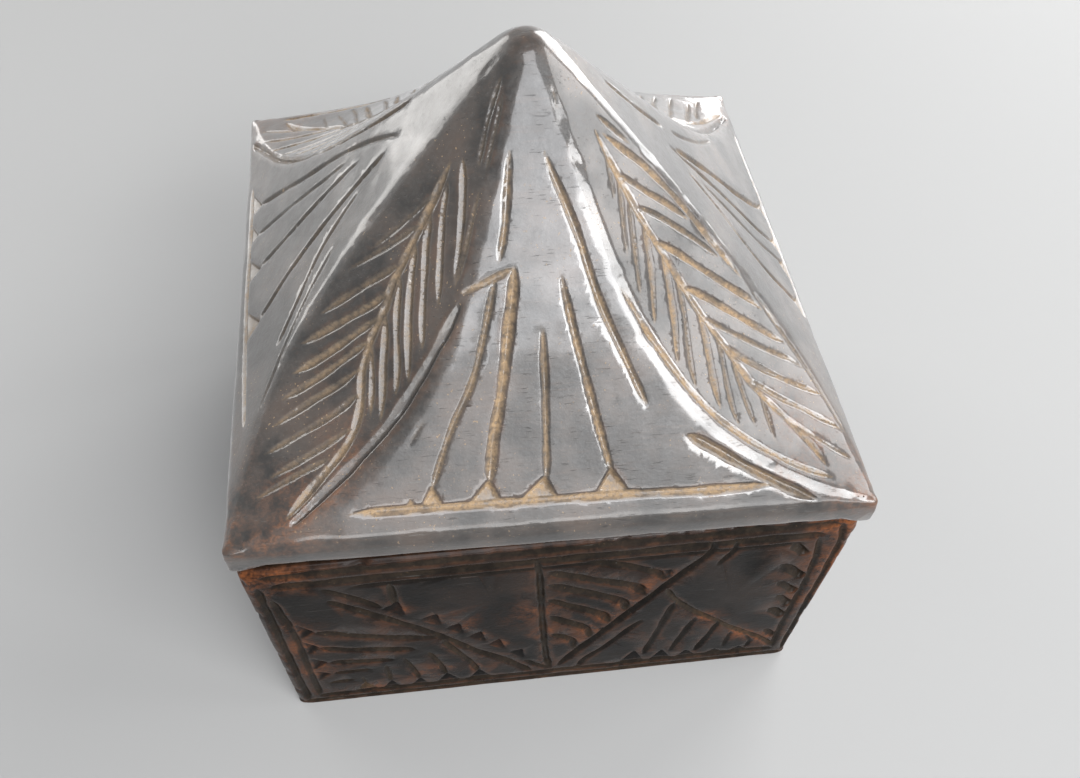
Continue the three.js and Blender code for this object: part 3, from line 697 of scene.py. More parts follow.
def smooth_line(points: Sequence[FlatPoint]) -> np.ndarray:
    """A curve through given points.

    Args:
        points: The points, in order.

    Returns:
        The curve's points, one to a row.
    """
    knots = np.array(points, float)
    if len(knots) < 3:
        return knots
    padded = np.vstack([2 * knots[0] - knots[1], knots, 2 * knots[-1] - knots[-2]])
    pieces = []
    for a, b, c, d in zip(padded, padded[1:], padded[2:], padded[3:]):
        count = max(2, int(np.linalg.norm(c - b) / CURVE_STEP))
        t = np.linspace(0.0, 1.0, count, endpoint=False)[:, None]
        bend, twist = 2 * a - 5 * b + 4 * c - d, 3 * b - a - 3 * c + d
        pieces.append(0.5 * (2 * b + (c - a) * t + bend * t**2 + twist * t**3))
    return np.vstack([*pieces, knots[-1:]])


def cut_depth(cut: Cut, places: np.ndarray) -> np.ndarray:
    """How deep a knife stroke is at places on its face.

    Args:
        cut: The stroke.
        places: The places, one to a row.

    Returns:
        The depth at each, 0 outside the stroke.
    """
    line = smooth_line(cut.points)
    runs = np.diff(line, axis=0)
    lengths = np.linalg.norm(runs, axis=1)
    starts = np.concatenate([[0.0], np.cumsum(lengths)])
    offset = places[:, None, :] - line[None, :-1]
    share = np.clip((offset * runs).sum(axis=2) / lengths**2, 0.0, 1.0)
    gap = np.linalg.norm(offset - share[:, :, None] * runs, axis=2)
    best = gap.argmin(axis=1)
    rows = np.arange(len(places))
    gap, share, offset, run = gap[rows, best], share[rows, best], offset[rows, best], runs[best]
    travelled = starts[best] + share * lengths[best]
    left = np.sign(run[:, 0] * offset[:, 1] - run[:, 1] * offset[:, 0])
    entry, leave = held(travelled / cut.run_in), held((starts[-1] - travelled) / cut.run_out)
    fullness = (1.0 - (1.0 - entry) ** 2) ** FULL_SOON * (1.0 - (1.0 - leave) ** 2) ** FULL_SOON
    phase = line[0, 0] * TREMBLE_START[0] + line[0, 1] * TREMBLE_START[1]
    (slow, wide), (quick, narrow) = TREMBLES
    unsteady = 1.0 + wide * np.sin(travelled / slow + phase)
    unsteady += narrow * np.sin(travelled / quick + 2 * phase)
    half = cut.width / 2 * fullness * unsteady + 1e-6
    shifted = gap * left - cut.lean * half
    wall = np.where(shifted > 0, half * (1 - cut.lean), half * (1 + cut.lean))
    slope = held(1.0 - np.abs(shifted) / wall)
    return cut.depth * fullness * unsteady * slope * (1.0 + STROKE_HOLLOW - STROKE_HOLLOW * slope)


def chip_depth(chip: Chip, places: np.ndarray) -> np.ndarray:
    """How deep a three-sided notch is at places on its face.

    Args:
        chip: The notch.
        places: The places, one to a row.

    Returns:
        The depth at each, 0 outside the notch.
    """
    tip, foot_a, foot_b = (np.array(corner, float) for corner in (chip.tip, chip.foot_a, chip.foot_b))

    def inside_of(start: np.ndarray, end: np.ndarray, opposite: np.ndarray) -> np.ndarray:
        """The distance in from one edge, positive on the notch's side of it."""
        run = (end - start) / np.linalg.norm(end - start)
        towards = np.array([-run[1], run[0]])
        sign = math.copysign(1.0, float(towards @ (opposite - start)))
        return (places - start) @ towards * sign

    height = float(abs(np.cross(foot_b - foot_a, tip - foot_a)) / np.linalg.norm(foot_b - foot_a))
    floor = held(inside_of(foot_a, foot_b, tip) / (SLOPING_SHARE * height))
    walls = np.minimum(inside_of(tip, foot_a, foot_b), inside_of(tip, foot_b, foot_a))
    return chip.depth * np.minimum(floor, held(walls / chip.bank))


def lattice_noise(points: np.ndarray, size: float, seed: int) -> np.ndarray:
    """Smooth random values that are the same each run.

    Args:
        points: Places in millimetres.
        size: About how far apart hills and hollows lie.
        seed: Picks one of many patterns.

    Returns:
        A value from -1 to 1 for each place.
    """
    cell = points / size
    corner = np.floor(cell).astype(np.int64)
    part = cell - corner
    part = part * part * (3.0 - 2.0 * part)
    total = np.zeros(len(points))
    for step in product((0, 1), repeat=3):
        x, y, z = (corner + step).T
        mixed = x * STIR[0] ^ y * STIR[1] ^ z * STIR[2] ^ seed * SEED_STIR
        mixed = (mixed ^ (mixed >> 13)) * LAST_STIR
        value = ((mixed ^ (mixed >> 16)) & 0xFFFF) / 32767.5 - 1.0
        near_x, near_y, near_z = (part[:, axis] if step[axis] else 1 - part[:, axis] for axis in range(3))
        total += value * (near_x * near_y * near_z)
    return total


class Skin:
    """A piece's fine mesh as arrays in millimetres."""

    def __init__(self, piece: bpy.types.Object) -> None:
        """Reads the mesh's points, their normals and its edges."""
        mesh = piece.data
        self.mesh = mesh
        count = len(mesh.vertices)
        flat = np.empty(count * 3, np.float32)
        mesh.vertices.foreach_get("co", flat)
        self.points = flat.reshape(-1, 3).astype(float) / MM
        mesh.vertex_normals.foreach_get("vector", flat)
        self.normals = flat.reshape(-1, 3).astype(float)
        pairs = np.empty(len(mesh.edges) * 2, np.int32)
        mesh.edges.foreach_get("vertices", pairs)
        self.ends = pairs.reshape(-1, 2).T
        self.degree = np.maximum(np.bincount(pairs, minlength=count), 1)

    def averaged(self, values: np.ndarray, rounds: int) -> np.ndarray:
        """Each point's value drawn towards the mean of its neighbours', some rounds over."""
        first, second = self.ends
        out = np.array(values, float)
        for _ in range(rounds):
            for column in range(out.shape[1]):
                total = np.bincount(first, out[second, column], len(out))
                total += np.bincount(second, out[first, column], len(out))
                out[:, column] = 0.5 * out[:, column] + 0.5 * total / self.degree
        return out

    def place(self) -> None:
        """Puts the changed points back into the mesh."""
        self.mesh.vertices.foreach_set("co", (self.points * MM).astype(np.float32).ravel())
        self.mesh.update()

    def mark(self, name: str, values: np.ndarray) -> None:
        """Stores one number at each point, for the finish to read."""
        attribute = self.mesh.attributes.new(name, "FLOAT", "POINT")
        attribute.data.foreach_set("value", values.astype(np.float32))


@dataclass
class CarvedPiece:
    """What the box and the lid share: an even skin, its carving, its worn arrises and painted shade, and
    its thinning.
    """

    name: str
    node: str
    body: str
    slot: str
    lowest: Vector
    highest: Vector
    voxel: float = 0.26
    quick_voxel: float = 0.42
    soften_rounds: int = 8
    most_triangles: int = 190_000
    evenness: float = 3e-6
    ripple: float = 0.10
    nick: float = 0.45
    arris_wear: float = 0.7
    ease_rounds: int = 70
    worn_from: float = 1.0
    seed: int = 1

    def blank(self) -> bpy.types.Object:
        """Makes the piece's blank."""
        raise NotImplementedError

    def faces(self) -> list[CarvedFace]:
        """The faces that are carved."""
        raise NotImplementedError

    def settle(self, points: np.ndarray, skin_depth: np.ndarray) -> np.ndarray:
        """Bends the true form to the slightly uneven one that a hand makes."""
        raise NotImplementedError

    def make(self) -> bpy.types.Object:
        """Makes the whole piece.

        Returns:
            The carved, worn and thinned piece, riding on its body.
        """
        piece = self.blank()
        voxel = self.voxel
        Bench.finish_with(piece, "REMESH", {"mode": "VOXEL", "voxel_size": voxel * MM})
        rounds = max(2, round(self.soften_rounds * (self.voxel / voxel) ** 2))
        Bench.finish_with(piece, "SMOOTH", {"factor": 0.5, "iterations": rounds})
        skin = Skin(piece)
        self.carve(skin, self.ease(skin))
        self.mark_wear_and_shade(Skin(piece))
        self.thin(piece)
        Bench.take_up(piece)
        bpy.ops.object.shade_smooth()
        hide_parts(self.node)
        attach(piece, self.body)
        LOG.info("%s: %d faces", self.name, len(piece.data.polygons))
        return piece

    def thin(self, piece: bpy.types.Object) -> None:
        """Thins the mesh, with its long triangles inside, where no carving shows them.

        Args:
            piece: The carved piece.
        """
        triangles = 2 * len(piece.data.polygons)
        if triangles <= self.most_triangles:
            return
        inside = np.empty(len(piece.data.vertices), np.float32)
        piece.data.attributes["inside"].data.foreach_get("value", inside)
        group = piece.vertex_groups.new(name="free_to_go")
        group.add(np.nonzero(inside > HIDDEN_FROM)[0].tolist(), 1.0, "REPLACE")
        group.add(np.nonzero(inside <= HIDDEN_FROM)[0].tolist(), SEEN_WEIGHT, "REPLACE")
        settings = {
            "decimate_type": "COLLAPSE",
            "ratio": self.most_triangles / triangles,
            "vertex_group": group.name,
            "vertex_group_factor": self.evenness,
        }
        Bench.finish_with(piece, "DECIMATE", settings)
        piece.vertex_groups.clear()

    def handled(self, points: np.ndarray) -> np.ndarray:
        """How much more, or less, than other arrises each place is rounded by handling."""
        raise NotImplementedError

    def ease(self, skin: Skin) -> np.ndarray:
        """Works out how handling rounds the outer arrises, and nicks them here and there.

        Args:
            skin: The even skin.

        Returns:
            How far each point moves.
        """
        grade = 1.0
        soft = skin.averaged(skin.points, round(self.ease_rounds * grade))
        convex = ((skin.points - soft) * skin.normals).sum(axis=1)
        worn = held(convex / SHARP_ARRIS) * (skin.points[:, 2] > self.worn_from)
        weight = held(self.handled(skin.points) + self.arris_wear * worn)
        large, small = NICK_SIZES
        chipped = lattice_noise(skin.points, large, self.seed + 5)
        chipped += 0.5 * lattice_noise(skin.points, small, self.seed + 6)
        nicks = self.nick * worn * np.clip(chipped - NICK_RARITY, 0.0, NICK_MOST)
        return (soft - skin.points) * weight[:, None] - skin.normals * nicks[:, None]

    def carve(self, skin: Skin, eased: np.ndarray) -> None:
        """Cuts the patterns into the skin and marks what lies in them.

        Args:
            skin: The even skin, which is changed.
            eased: How far handling moves each point.
        """
        layouts = [face.lay_out(skin.points) for face in self.faces()]
        skin_depth = np.min([np.maximum(layout.below, 0.0) for layout in layouts], axis=0)
        outside = fading(skin_depth, *WAVES_FADE)
        large, middle, small = (
            share * lattice_noise(skin.points, size, self.seed + at)
            for at, (size, share) in enumerate(BLADE_WAVES)
        )
        ripple = large + middle + small
        push = np.zeros_like(skin.points)
        deepest, dust, rubbed = (np.zeros(len(skin.points)) for _ in range(3))
        for face, layout in zip(self.faces(), layouts):
            near = np.nonzero((layout.below < CARVED_UNDER) & (layout.below > -CARVED_OVER))[0]
            places = np.stack([layout.across[near], layout.along[near]], axis=1)
            below = np.maximum(layout.below[near], 0.0)
            for mark in (*face.pattern.cuts, *face.pattern.chips):
                if isinstance(mark, Cut):
                    corners, reach, deepen = np.array(mark.points), mark.width, cut_depth
                else:
                    corners = np.array([mark.tip, mark.foot_a, mark.foot_b])
                    reach, deepen = NOTCH_MARGIN, chip_depth
                low, high = corners.min(axis=0) - reach, corners.max(axis=0) + reach
                at = np.nonzero(((places > low) & (places < high)).all(axis=1))[0]
                if not len(at):
                    continue
                bite = np.maximum(deepen(mark, places[at]) - below[at], 0.0)
                points = near[at]
                deeper = bite > deepest[points]
                chosen = points[deeper]
                deepest[chosen] = bite[deeper]
                inward = layout.inward if len(layout.inward) == 1 else layout.inward[chosen]
                push[chosen] = inward * bite[deeper, None]
                dust[chosen] = mark.dust * rising(bite[deeper] / mark.depth, LEAST_DUST, DUSTY_SHARE)
            for spot in face.pattern.spots:
                gap = np.linalg.norm(places - np.array(spot.place), axis=1) / spot.radius
                amount = spot.amount * fading(gap, *SPOT_FADE) * fading(below, *SPOT_FADE_IN)
                rubbed[near] = np.maximum(rubbed[near], amount)
        skin.points += eased + push + skin.normals * (self.ripple * ripple * outside)[:, None]
        skin.points = skin.averaged(skin.points, 1)
        skin.mark("cut", held(deepest / FULL_CUT))
        skin.mark("dust", dust)
        skin.mark("rubbed", held(rubbed))
        skin.mark("inside", held(skin_depth / INSIDE_FROM[0] - INSIDE_FROM[1]))
        skin.points = self.settle(skin.points, skin_depth)
        skin.place()

    def mark_wear_and_shade(self, skin: Skin) -> None:
        """Marks rubbed arrises, and hollows that the finish darkens with dirt and painted shade.

        Args:
            skin: The carved skin.
        """
        grade = 1.0
        soft = skin.averaged(skin.points, round(FINE_ROUNDS * grade))
        softer = skin.averaged(soft, round(BROAD_ROUNDS * grade))
        fine = ((skin.points - soft) * skin.normals).sum(axis=1)
        broad = ((soft - softer) * skin.normals).sum(axis=1)
        skin.mark("arris", held(fine / FINE_HEIGHT + broad / BROAD_HEIGHT))
        # The hollow mark darkens creases and recesses in the finish: painted shade, with some dirt.
        skin.mark("hollow", held(-fine / FINE_HEIGHT - broad / BROAD_HEIGHT))


@dataclass
class CarvedBox(CarvedPiece):
    """The box, hollowed from one block and carved on its four walls."""

    wall: float = 5.0
    floor: float = 6.0
    corner_radius: float = 1.2
    well_radius: float = 4.0
    corner_ease: float = 0.3
    corner_fade: Pair = (1.6, 1.6)
    brow_ease: float = 0.2
    brow_fade: Pair = (1.3, 1.5)
    trued_from: float = 0.8
    undersize: float = 0.5
    shift: FlatPoint = (0.55, -0.5)

    def blank(self) -> bpy.types.Object:
        """Makes the block with its square well.

        Returns:
            The blank.
        """
        half, height = self.highest.x / MM, self.highest.z / MM
        piece = Bench.block(self.name, half, 0.0, height)
        bpy.ops.object.mode_set(mode="EDIT")
        Bench.pick(piece, "FACE", lambda middle, normal: normal.z > UPRIGHT)
        bpy.ops.mesh.inset(thickness=self.wall * MM)
        depth = (self.floor - height) * MM
        bpy.ops.mesh.extrude_region_move(TRANSFORM_OT_translate={"value": (0.0, 0.0, depth)})
        bpy.ops.object.mode_set(mode="OBJECT")
        between = half - self.wall / 2
        Bench.round_uprights(piece, self.well_radius, 6, between, outer=False)
        Bench.round_uprights(piece, self.corner_radius, 4, between)
        return piece

    def faces(self) -> list[CarvedFace]:
        """The four walls. The two side walls have the front's pattern turned over."""
        half = self.highest.x / MM
        turned_over = WALL.mirrored()
        patterns = {Side.FRONT: WALL, Side.RIGHT: turned_over, Side.BACK: WALL, Side.LEFT: turned_over}
        return [FlatFace(side, pattern, half, 0.0, 0.0) for side, pattern in patterns.items()]

    def handled(self, points: np.ndarray) -> np.ndarray:
        """The top arris and the upright corners are worn."""
        across = np.sort(np.abs(points[:, :2]), axis=1)
        half, height = self.highest.x / MM, self.highest.z / MM
        corner = fading(half - across[:, 0], *self.corner_fade)
        brow = fading(height - points[:, 2], *self.brow_fade)
        brow *= across[:, 1] > half - self.wall / 2
        return np.maximum(self.corner_ease * corner, self.brow_ease * brow)

    def settle(self, points: np.ndarray, skin_depth: np.ndarray) -> np.ndarray:
        """Sets the outer walls slightly out of true.

        Args:
            points: The carved points.
            skin_depth: How far each lies inside the outer walls.

        Returns:
            The points, moved by about a millimetre at most.
        """
        outer = fading(skin_depth, 1.0, self.trued_from * self.wall)
        shrink = 1.0 - self.undersize / (self.highest.x / MM)
        out = points.copy()
        out[:, :2] += (points[:, :2] * (shrink - 1.0) + np.array(self.shift)) * outer[:, None]
        return np.clip(out, self.lowest / MM, self.highest / MM)


@dataclass
class CarvedLid(CarvedPiece):
    """The lid: a square rim, four fans leaning in to a rounded tip, and a leaf down each corner."""

    rim: float = 4.8
    seat: float = 51.3
    corner_cut: float = 0.4
    meet: float = 47.5
    tip_radius: float = 4.5
    leaf_share: float = 0.425
    leaf_opening: float = 7.8
    roof: float = 8.0
    hollow_tip: float = 4.0
    hollow_share: float = 0.2
    lip_outer: float = 38.7
    lip_inner: float = 35.2
    lip_radius: float = 3.3
    corner_shifts: tuple[FlatPoint, ...] = ((0.85, 0.95), (-0.15, -0.4), (-1.3, 0.1), (-0.2, 0.1))
    rim_ease: float = 0.35
    rim_fade: Pair = (1.5, 1.6)
    rim_reach: Pair = (5.0, 2.0)
    tip_ease: float = 0.6
    tip_reach: Pair = (7.0, 4.0)
    corner_kept: float = 1.1
    corner_reach: Pair = (5.0, 4.0)
    undersize_share: float = 0.006
    trued_from: float = 4.0
    tip_levels: int = 8
    roof_levels: int = 24
    hollow_levels: int = 14

    @property
    def rim_top(self) -> float:
        """The height at which the fans begin."""
        return self.seat + self.rim

    @property
    def half(self) -> float:
        """Half the width of the square rim."""
        return self.highest.x / MM

    @property
    def slant(self) -> float:
        """The length of a fan's slope, if it ran on to a sharp tip."""
        return math.hypot(self.half, self.meet)

    @property
    def lean(self) -> float:
        """How far the fans lean in from upright."""
        return math.atan2(self.half, self.meet)

    @property
    def tip_centre(self) -> float:
        """The height over the rim of the rounded tip's centre."""
        return self.meet - self.tip_radius * self.slant / self.half

    @property
    def tip_start(self) -> float:
        """The height over the rim at which the tip begins to round."""
        return self.tip_centre + self.tip_radius * self.half / self.slant

    @property
    def inset(self) -> float:
        """How far in, level, the hollow lies from the fans."""
        return self.roof * self.slant / self.meet

    def roof_section(self, height: float) -> Pair:
        """The level section of the outside at a height above the rim.

        Args:
            height: The height above the rim.

        Returns:
            The distance of the fans from the axis, and half a fan's width there.
        """
        if height > self.tip_start:
            distance = math.sqrt(max(self.tip_radius**2 - (height - self.tip_centre) ** 2, 0.04))
        else:
            distance = self.half * (1.0 - height / self.meet)
        share = self.leaf_share + (1 - self.leaf_share) * math.exp(-height / self.leaf_opening)
        return distance, min(distance * share, self.half - self.corner_cut)

    def hollow_section(self, height: float) -> Pair:
        """The level section of the hollow, with the roof's thickness of wood outside it.

        Args:
            height: The height above the rim.

        Returns:
            The distance of its sides from the axis, and half their width.
        """
        distance, half_width = self.roof_section(height)
        leaf = (distance + half_width) / math.sqrt(2) - self.inset
        inner = distance - self.inset
        widest = min(leaf * math.sqrt(2) - inner, inner - self.corner_cut)
        return inner, max(widest, inner * self.hollow_share)

    def blank(self) -> bpy.types.Object:
        """Makes the roof, its lip and the hollow under it.

        Returns:
            The blank.
        """
        piece = Bench.block(self.name, self.half, self.seat, self.rim_top)
        Bench.round_uprights(piece, self.corner_cut, 1)
        turn = (math.pi / 2 - self.lean) * 0.8
        angles = [self.lean + turn * level / self.tip_levels for level in range(self.tip_levels + 1)]
        rises = [self.tip_start * (level / self.roof_levels) ** 1.5 for level in range(self.roof_levels)]
        rises += [self.tip_centre + self.tip_radius * math.sin(angle) for angle in angles]
        Bench.raise_sections(
            piece, [self.rim_top + rise for rise in rises], [self.roof_section(rise) for rise in rises]
        )
        lip = Bench.block("lip", self.lip_outer, self.lowest.z / MM, self.rim_top - 1.0)
        Bench.round_uprights(lip, self.lip_radius, 5)
        Bench.join_with(piece, lip, "UNION")
        closed = self.meet * (1.0 - (self.hollow_tip + self.inset) / self.half)
        mouth = self.lowest.z / MM - 1.0
        hollow = Bench.block("hollow", self.lip_inner, mouth, mouth + 1.0)
        Bench.round_uprights(hollow, self.corner_cut, 1)
        steps = [closed * level / self.hollow_levels for level in range(self.hollow_levels + 1)]
        heights = [mouth + 1.0, *(self.rim_top + step for step in steps)]
        first = (self.lip_inner, self.lip_inner - self.corner_cut)
        Bench.raise_sections(hollow, heights, [first, *(self.hollow_section(step) for step in steps)])
        Bench.join_with(piece, hollow, "DIFFERENCE")
        return piece

    def faces(self) -> list[CarvedFace]:
        """The four fans and the four leaves. Those at the back are guessed from the front's."""
        fans = {
            Side.FRONT: FRONT_FAN,
            Side.RIGHT: RIGHT_FAN,
            Side.BACK: LEFT_FAN.mirrored(),
            Side.LEFT: LEFT_FAN,
        }
        leaves = {
            Side.FRONT: RIGHT_LEAF,
            Side.RIGHT: LEFT_LEAF.mirrored(),
            Side.BACK: RIGHT_LEAF,
            Side.LEFT: LEFT_LEAF,
        }
        rises = np.linspace(0.0, self.highest.z / MM - self.rim_top, CURVE_LEVELS)
        sections = np.array([self.roof_section(float(rise)) for rise in rises])
        distances = sections.sum(axis=1) / math.sqrt(2)
        faces: list[CarvedFace] = [
            FlatFace(side, pattern, self.half, self.rim_top, self.lean) for side, pattern in fans.items()
        ]
        curve = self.rim_top + rises
        faces += [LeafFace(side, pattern, distances, curve) for side, pattern in leaves.items()]
        faces += [FlatFace(side, Pattern(), self.half, self.seat, 0.0) for side in Side]
        return faces

    def handled(self, points: np.ndarray) -> np.ndarray:
        """The rim's arris and the tip are worn round, and the rim's corners are kept."""
        within, reach = np.sort(np.abs(points[:, :2]), axis=1).T
        rim = fading(np.abs(points[:, 2] - self.rim_top), *self.rim_fade)
        rim *= rising(reach - self.half, *self.rim_reach)
        tip = rising(points[:, 2] - self.rim_top - self.meet, *self.tip_reach)
        corner = rising(within - self.half, *self.corner_reach)
        return np.maximum(self.rim_ease * rim, self.tip_ease * tip) - self.corner_kept * corner

    def settle(self, points: np.ndarray, skin_depth: np.ndarray) -> np.ndarray:
        """Draws each corner of the rim slightly out of square, less and less up to the tip.

        Args:
            points: The carved points.
            skin_depth: How far each lies inside the outer faces.

        Returns:
            The points, moved by a millimetre and a half at most.
        """
        right, back = (held(points[:, axis] / (2 * self.half) + 0.5) for axis in (0, 1))
        left, front = 1 - right, 1 - back
        weights = np.stack([left * front, right * front, right * back, left * back])
        rise = held((points[:, 2] - self.rim_top) / self.meet)
        shift = weights.T @ np.array(self.corner_shifts) * (1 - rise)[:, None]
        shift -= points[:, :2] * self.undersize_share
        outer = fading(skin_depth, 1.0, self.trued_from)
        out = points.copy()
        out[:, :2] += shift * outer[:, None]
        return np.clip(out, self.lowest / MM, self.highest / MM)


class Value:
    """A number on a material's node sheet. Its operators add Math nodes."""

    def __init__(self, sheet: "Sheet", socket: bpy.types.NodeSocket) -> None:
        """Wraps a socket of a node on that sheet."""
        self.sheet = sheet
        self.socket = socket

    def __add__(self, other: "Value | float") -> "Value":
        """Sum."""
        return self.sheet.reckon("ADD", self, other)

    def __sub__(self, other: "Value | float") -> "Value":
        """Difference."""
        return self.sheet.reckon("SUBTRACT", self, other)

    def __rsub__(self, other: float) -> "Value":
        """Difference from a plain number."""
        return self.sheet.reckon("SUBTRACT", other, self)

    def __mul__(self, other: "Value | float") -> "Value":
        """Product."""
        return self.sheet.reckon("MULTIPLY", self, other)

    __radd__ = __add__
    __rmul__ = __mul__

    def held(self) -> "Value":
        """The number kept between 0 and 1."""
        return self.sheet.add("ShaderNodeClamp", {}, {0: self})

    def rising(self, low: float, high: float) -> "Value":
        """0 below one number, 1 above another and a smooth step between them."""
        return self.sheet.add(
            "ShaderNodeMapRange", {"interpolation_type": "SMOOTHSTEP"}, {0: self, 1: low, 2: high}
        )


class Sheet:
    """The nodes of one material, or of the sky."""

    def __init__(self, owner: bpy.types.Material | bpy.types.World) -> None:
        """Starts with no nodes."""
        self.owner = owner
        owner.use_nodes = True
        self.tree = owner.node_tree
        self.tree.nodes.clear()

    def add(
        self,
        kind: str,
        settings: dict[str, object],
        inputs: dict[int | str, object],
        output: int | str = 0,
    ) -> Value:
        """Adds a node.

        Args:
            kind: The node's type.
            settings: Its own settings, which are set first.
            inputs: The numbers, colours or links of its sockets.
            output: Which of its outputs is wanted.

        Returns:
            That output.
        """
        node = self.tree.nodes.new(kind)
        for name, value in settings.items():
            setattr(node, name, value)
        for key, value in inputs.items():
            if isinstance(value, Value):
                self.tree.links.new(value.socket, node.inputs[key])
            else:
                node.inputs[key].default_value = value
        return Value(self, node.outputs[output])

    def reckon(self, operation: str, first: Value | float, second: Value | float) -> Value:
        """A Math node on two numbers."""
        return self.add("ShaderNodeMath", {"operation": operation}, {0: first, 1: second})

    def mark(self, name: str) -> Value:
        """A number stored at the points of the mesh."""
        return self.add("ShaderNodeAttribute", {"attribute_name": name}, {}, "Fac")

    def noise(self, place: Value, size: float, detail: float = 3.0, roughness: float = 0.55) -> Value:
        """Soft random values from about 0.2 to 0.8 that change over some millimetres."""
        inputs = {"Vector": place, "Scale": 1.0 / (size * MM), "Detail": detail, "Roughness": roughness}
        return self.add("ShaderNodeTexNoise", {}, inputs)

    def stretched(self, place: Value, turn: Triple, scale: Triple) -> Value:
        """The places turned and then drawn out, for fibres and scratches."""
        return self.add("ShaderNodeMapping", {}, {"Vector": place, "Rotation": turn, "Scale": scale})

    def seen(self) -> Value:
        """1 for what the camera sees, straight or in a reflection, and 0 for what lights things."""
        rays = ("Is Camera Ray", "Is Glossy Ray", "Is Transmission Ray")
        camera, glossy, transmission = (self.add("ShaderNodeLightPath", {}, {}, ray) for ray in rays)
        return (camera + glossy + transmission).held()

    def close(self, kind: str, shader: Value) -> None:
        """Leads a shader to the output."""
        output = self.tree.nodes.new(kind)
        self.tree.links.new(shader.socket, output.inputs["Surface"])

    def mix(self, share: Value | float, first: Value | Colour, second: Value | Colour) -> Value:
        """A mix of two colours."""
        colours = [c if isinstance(c, Value) else (*c, 1.0) for c in (first, second)]
        inputs = {0: share, 6: colours[0], 7: colours[1]}
        return self.add("ShaderNodeMix", {"data_type": "RGBA"}, inputs, 2)


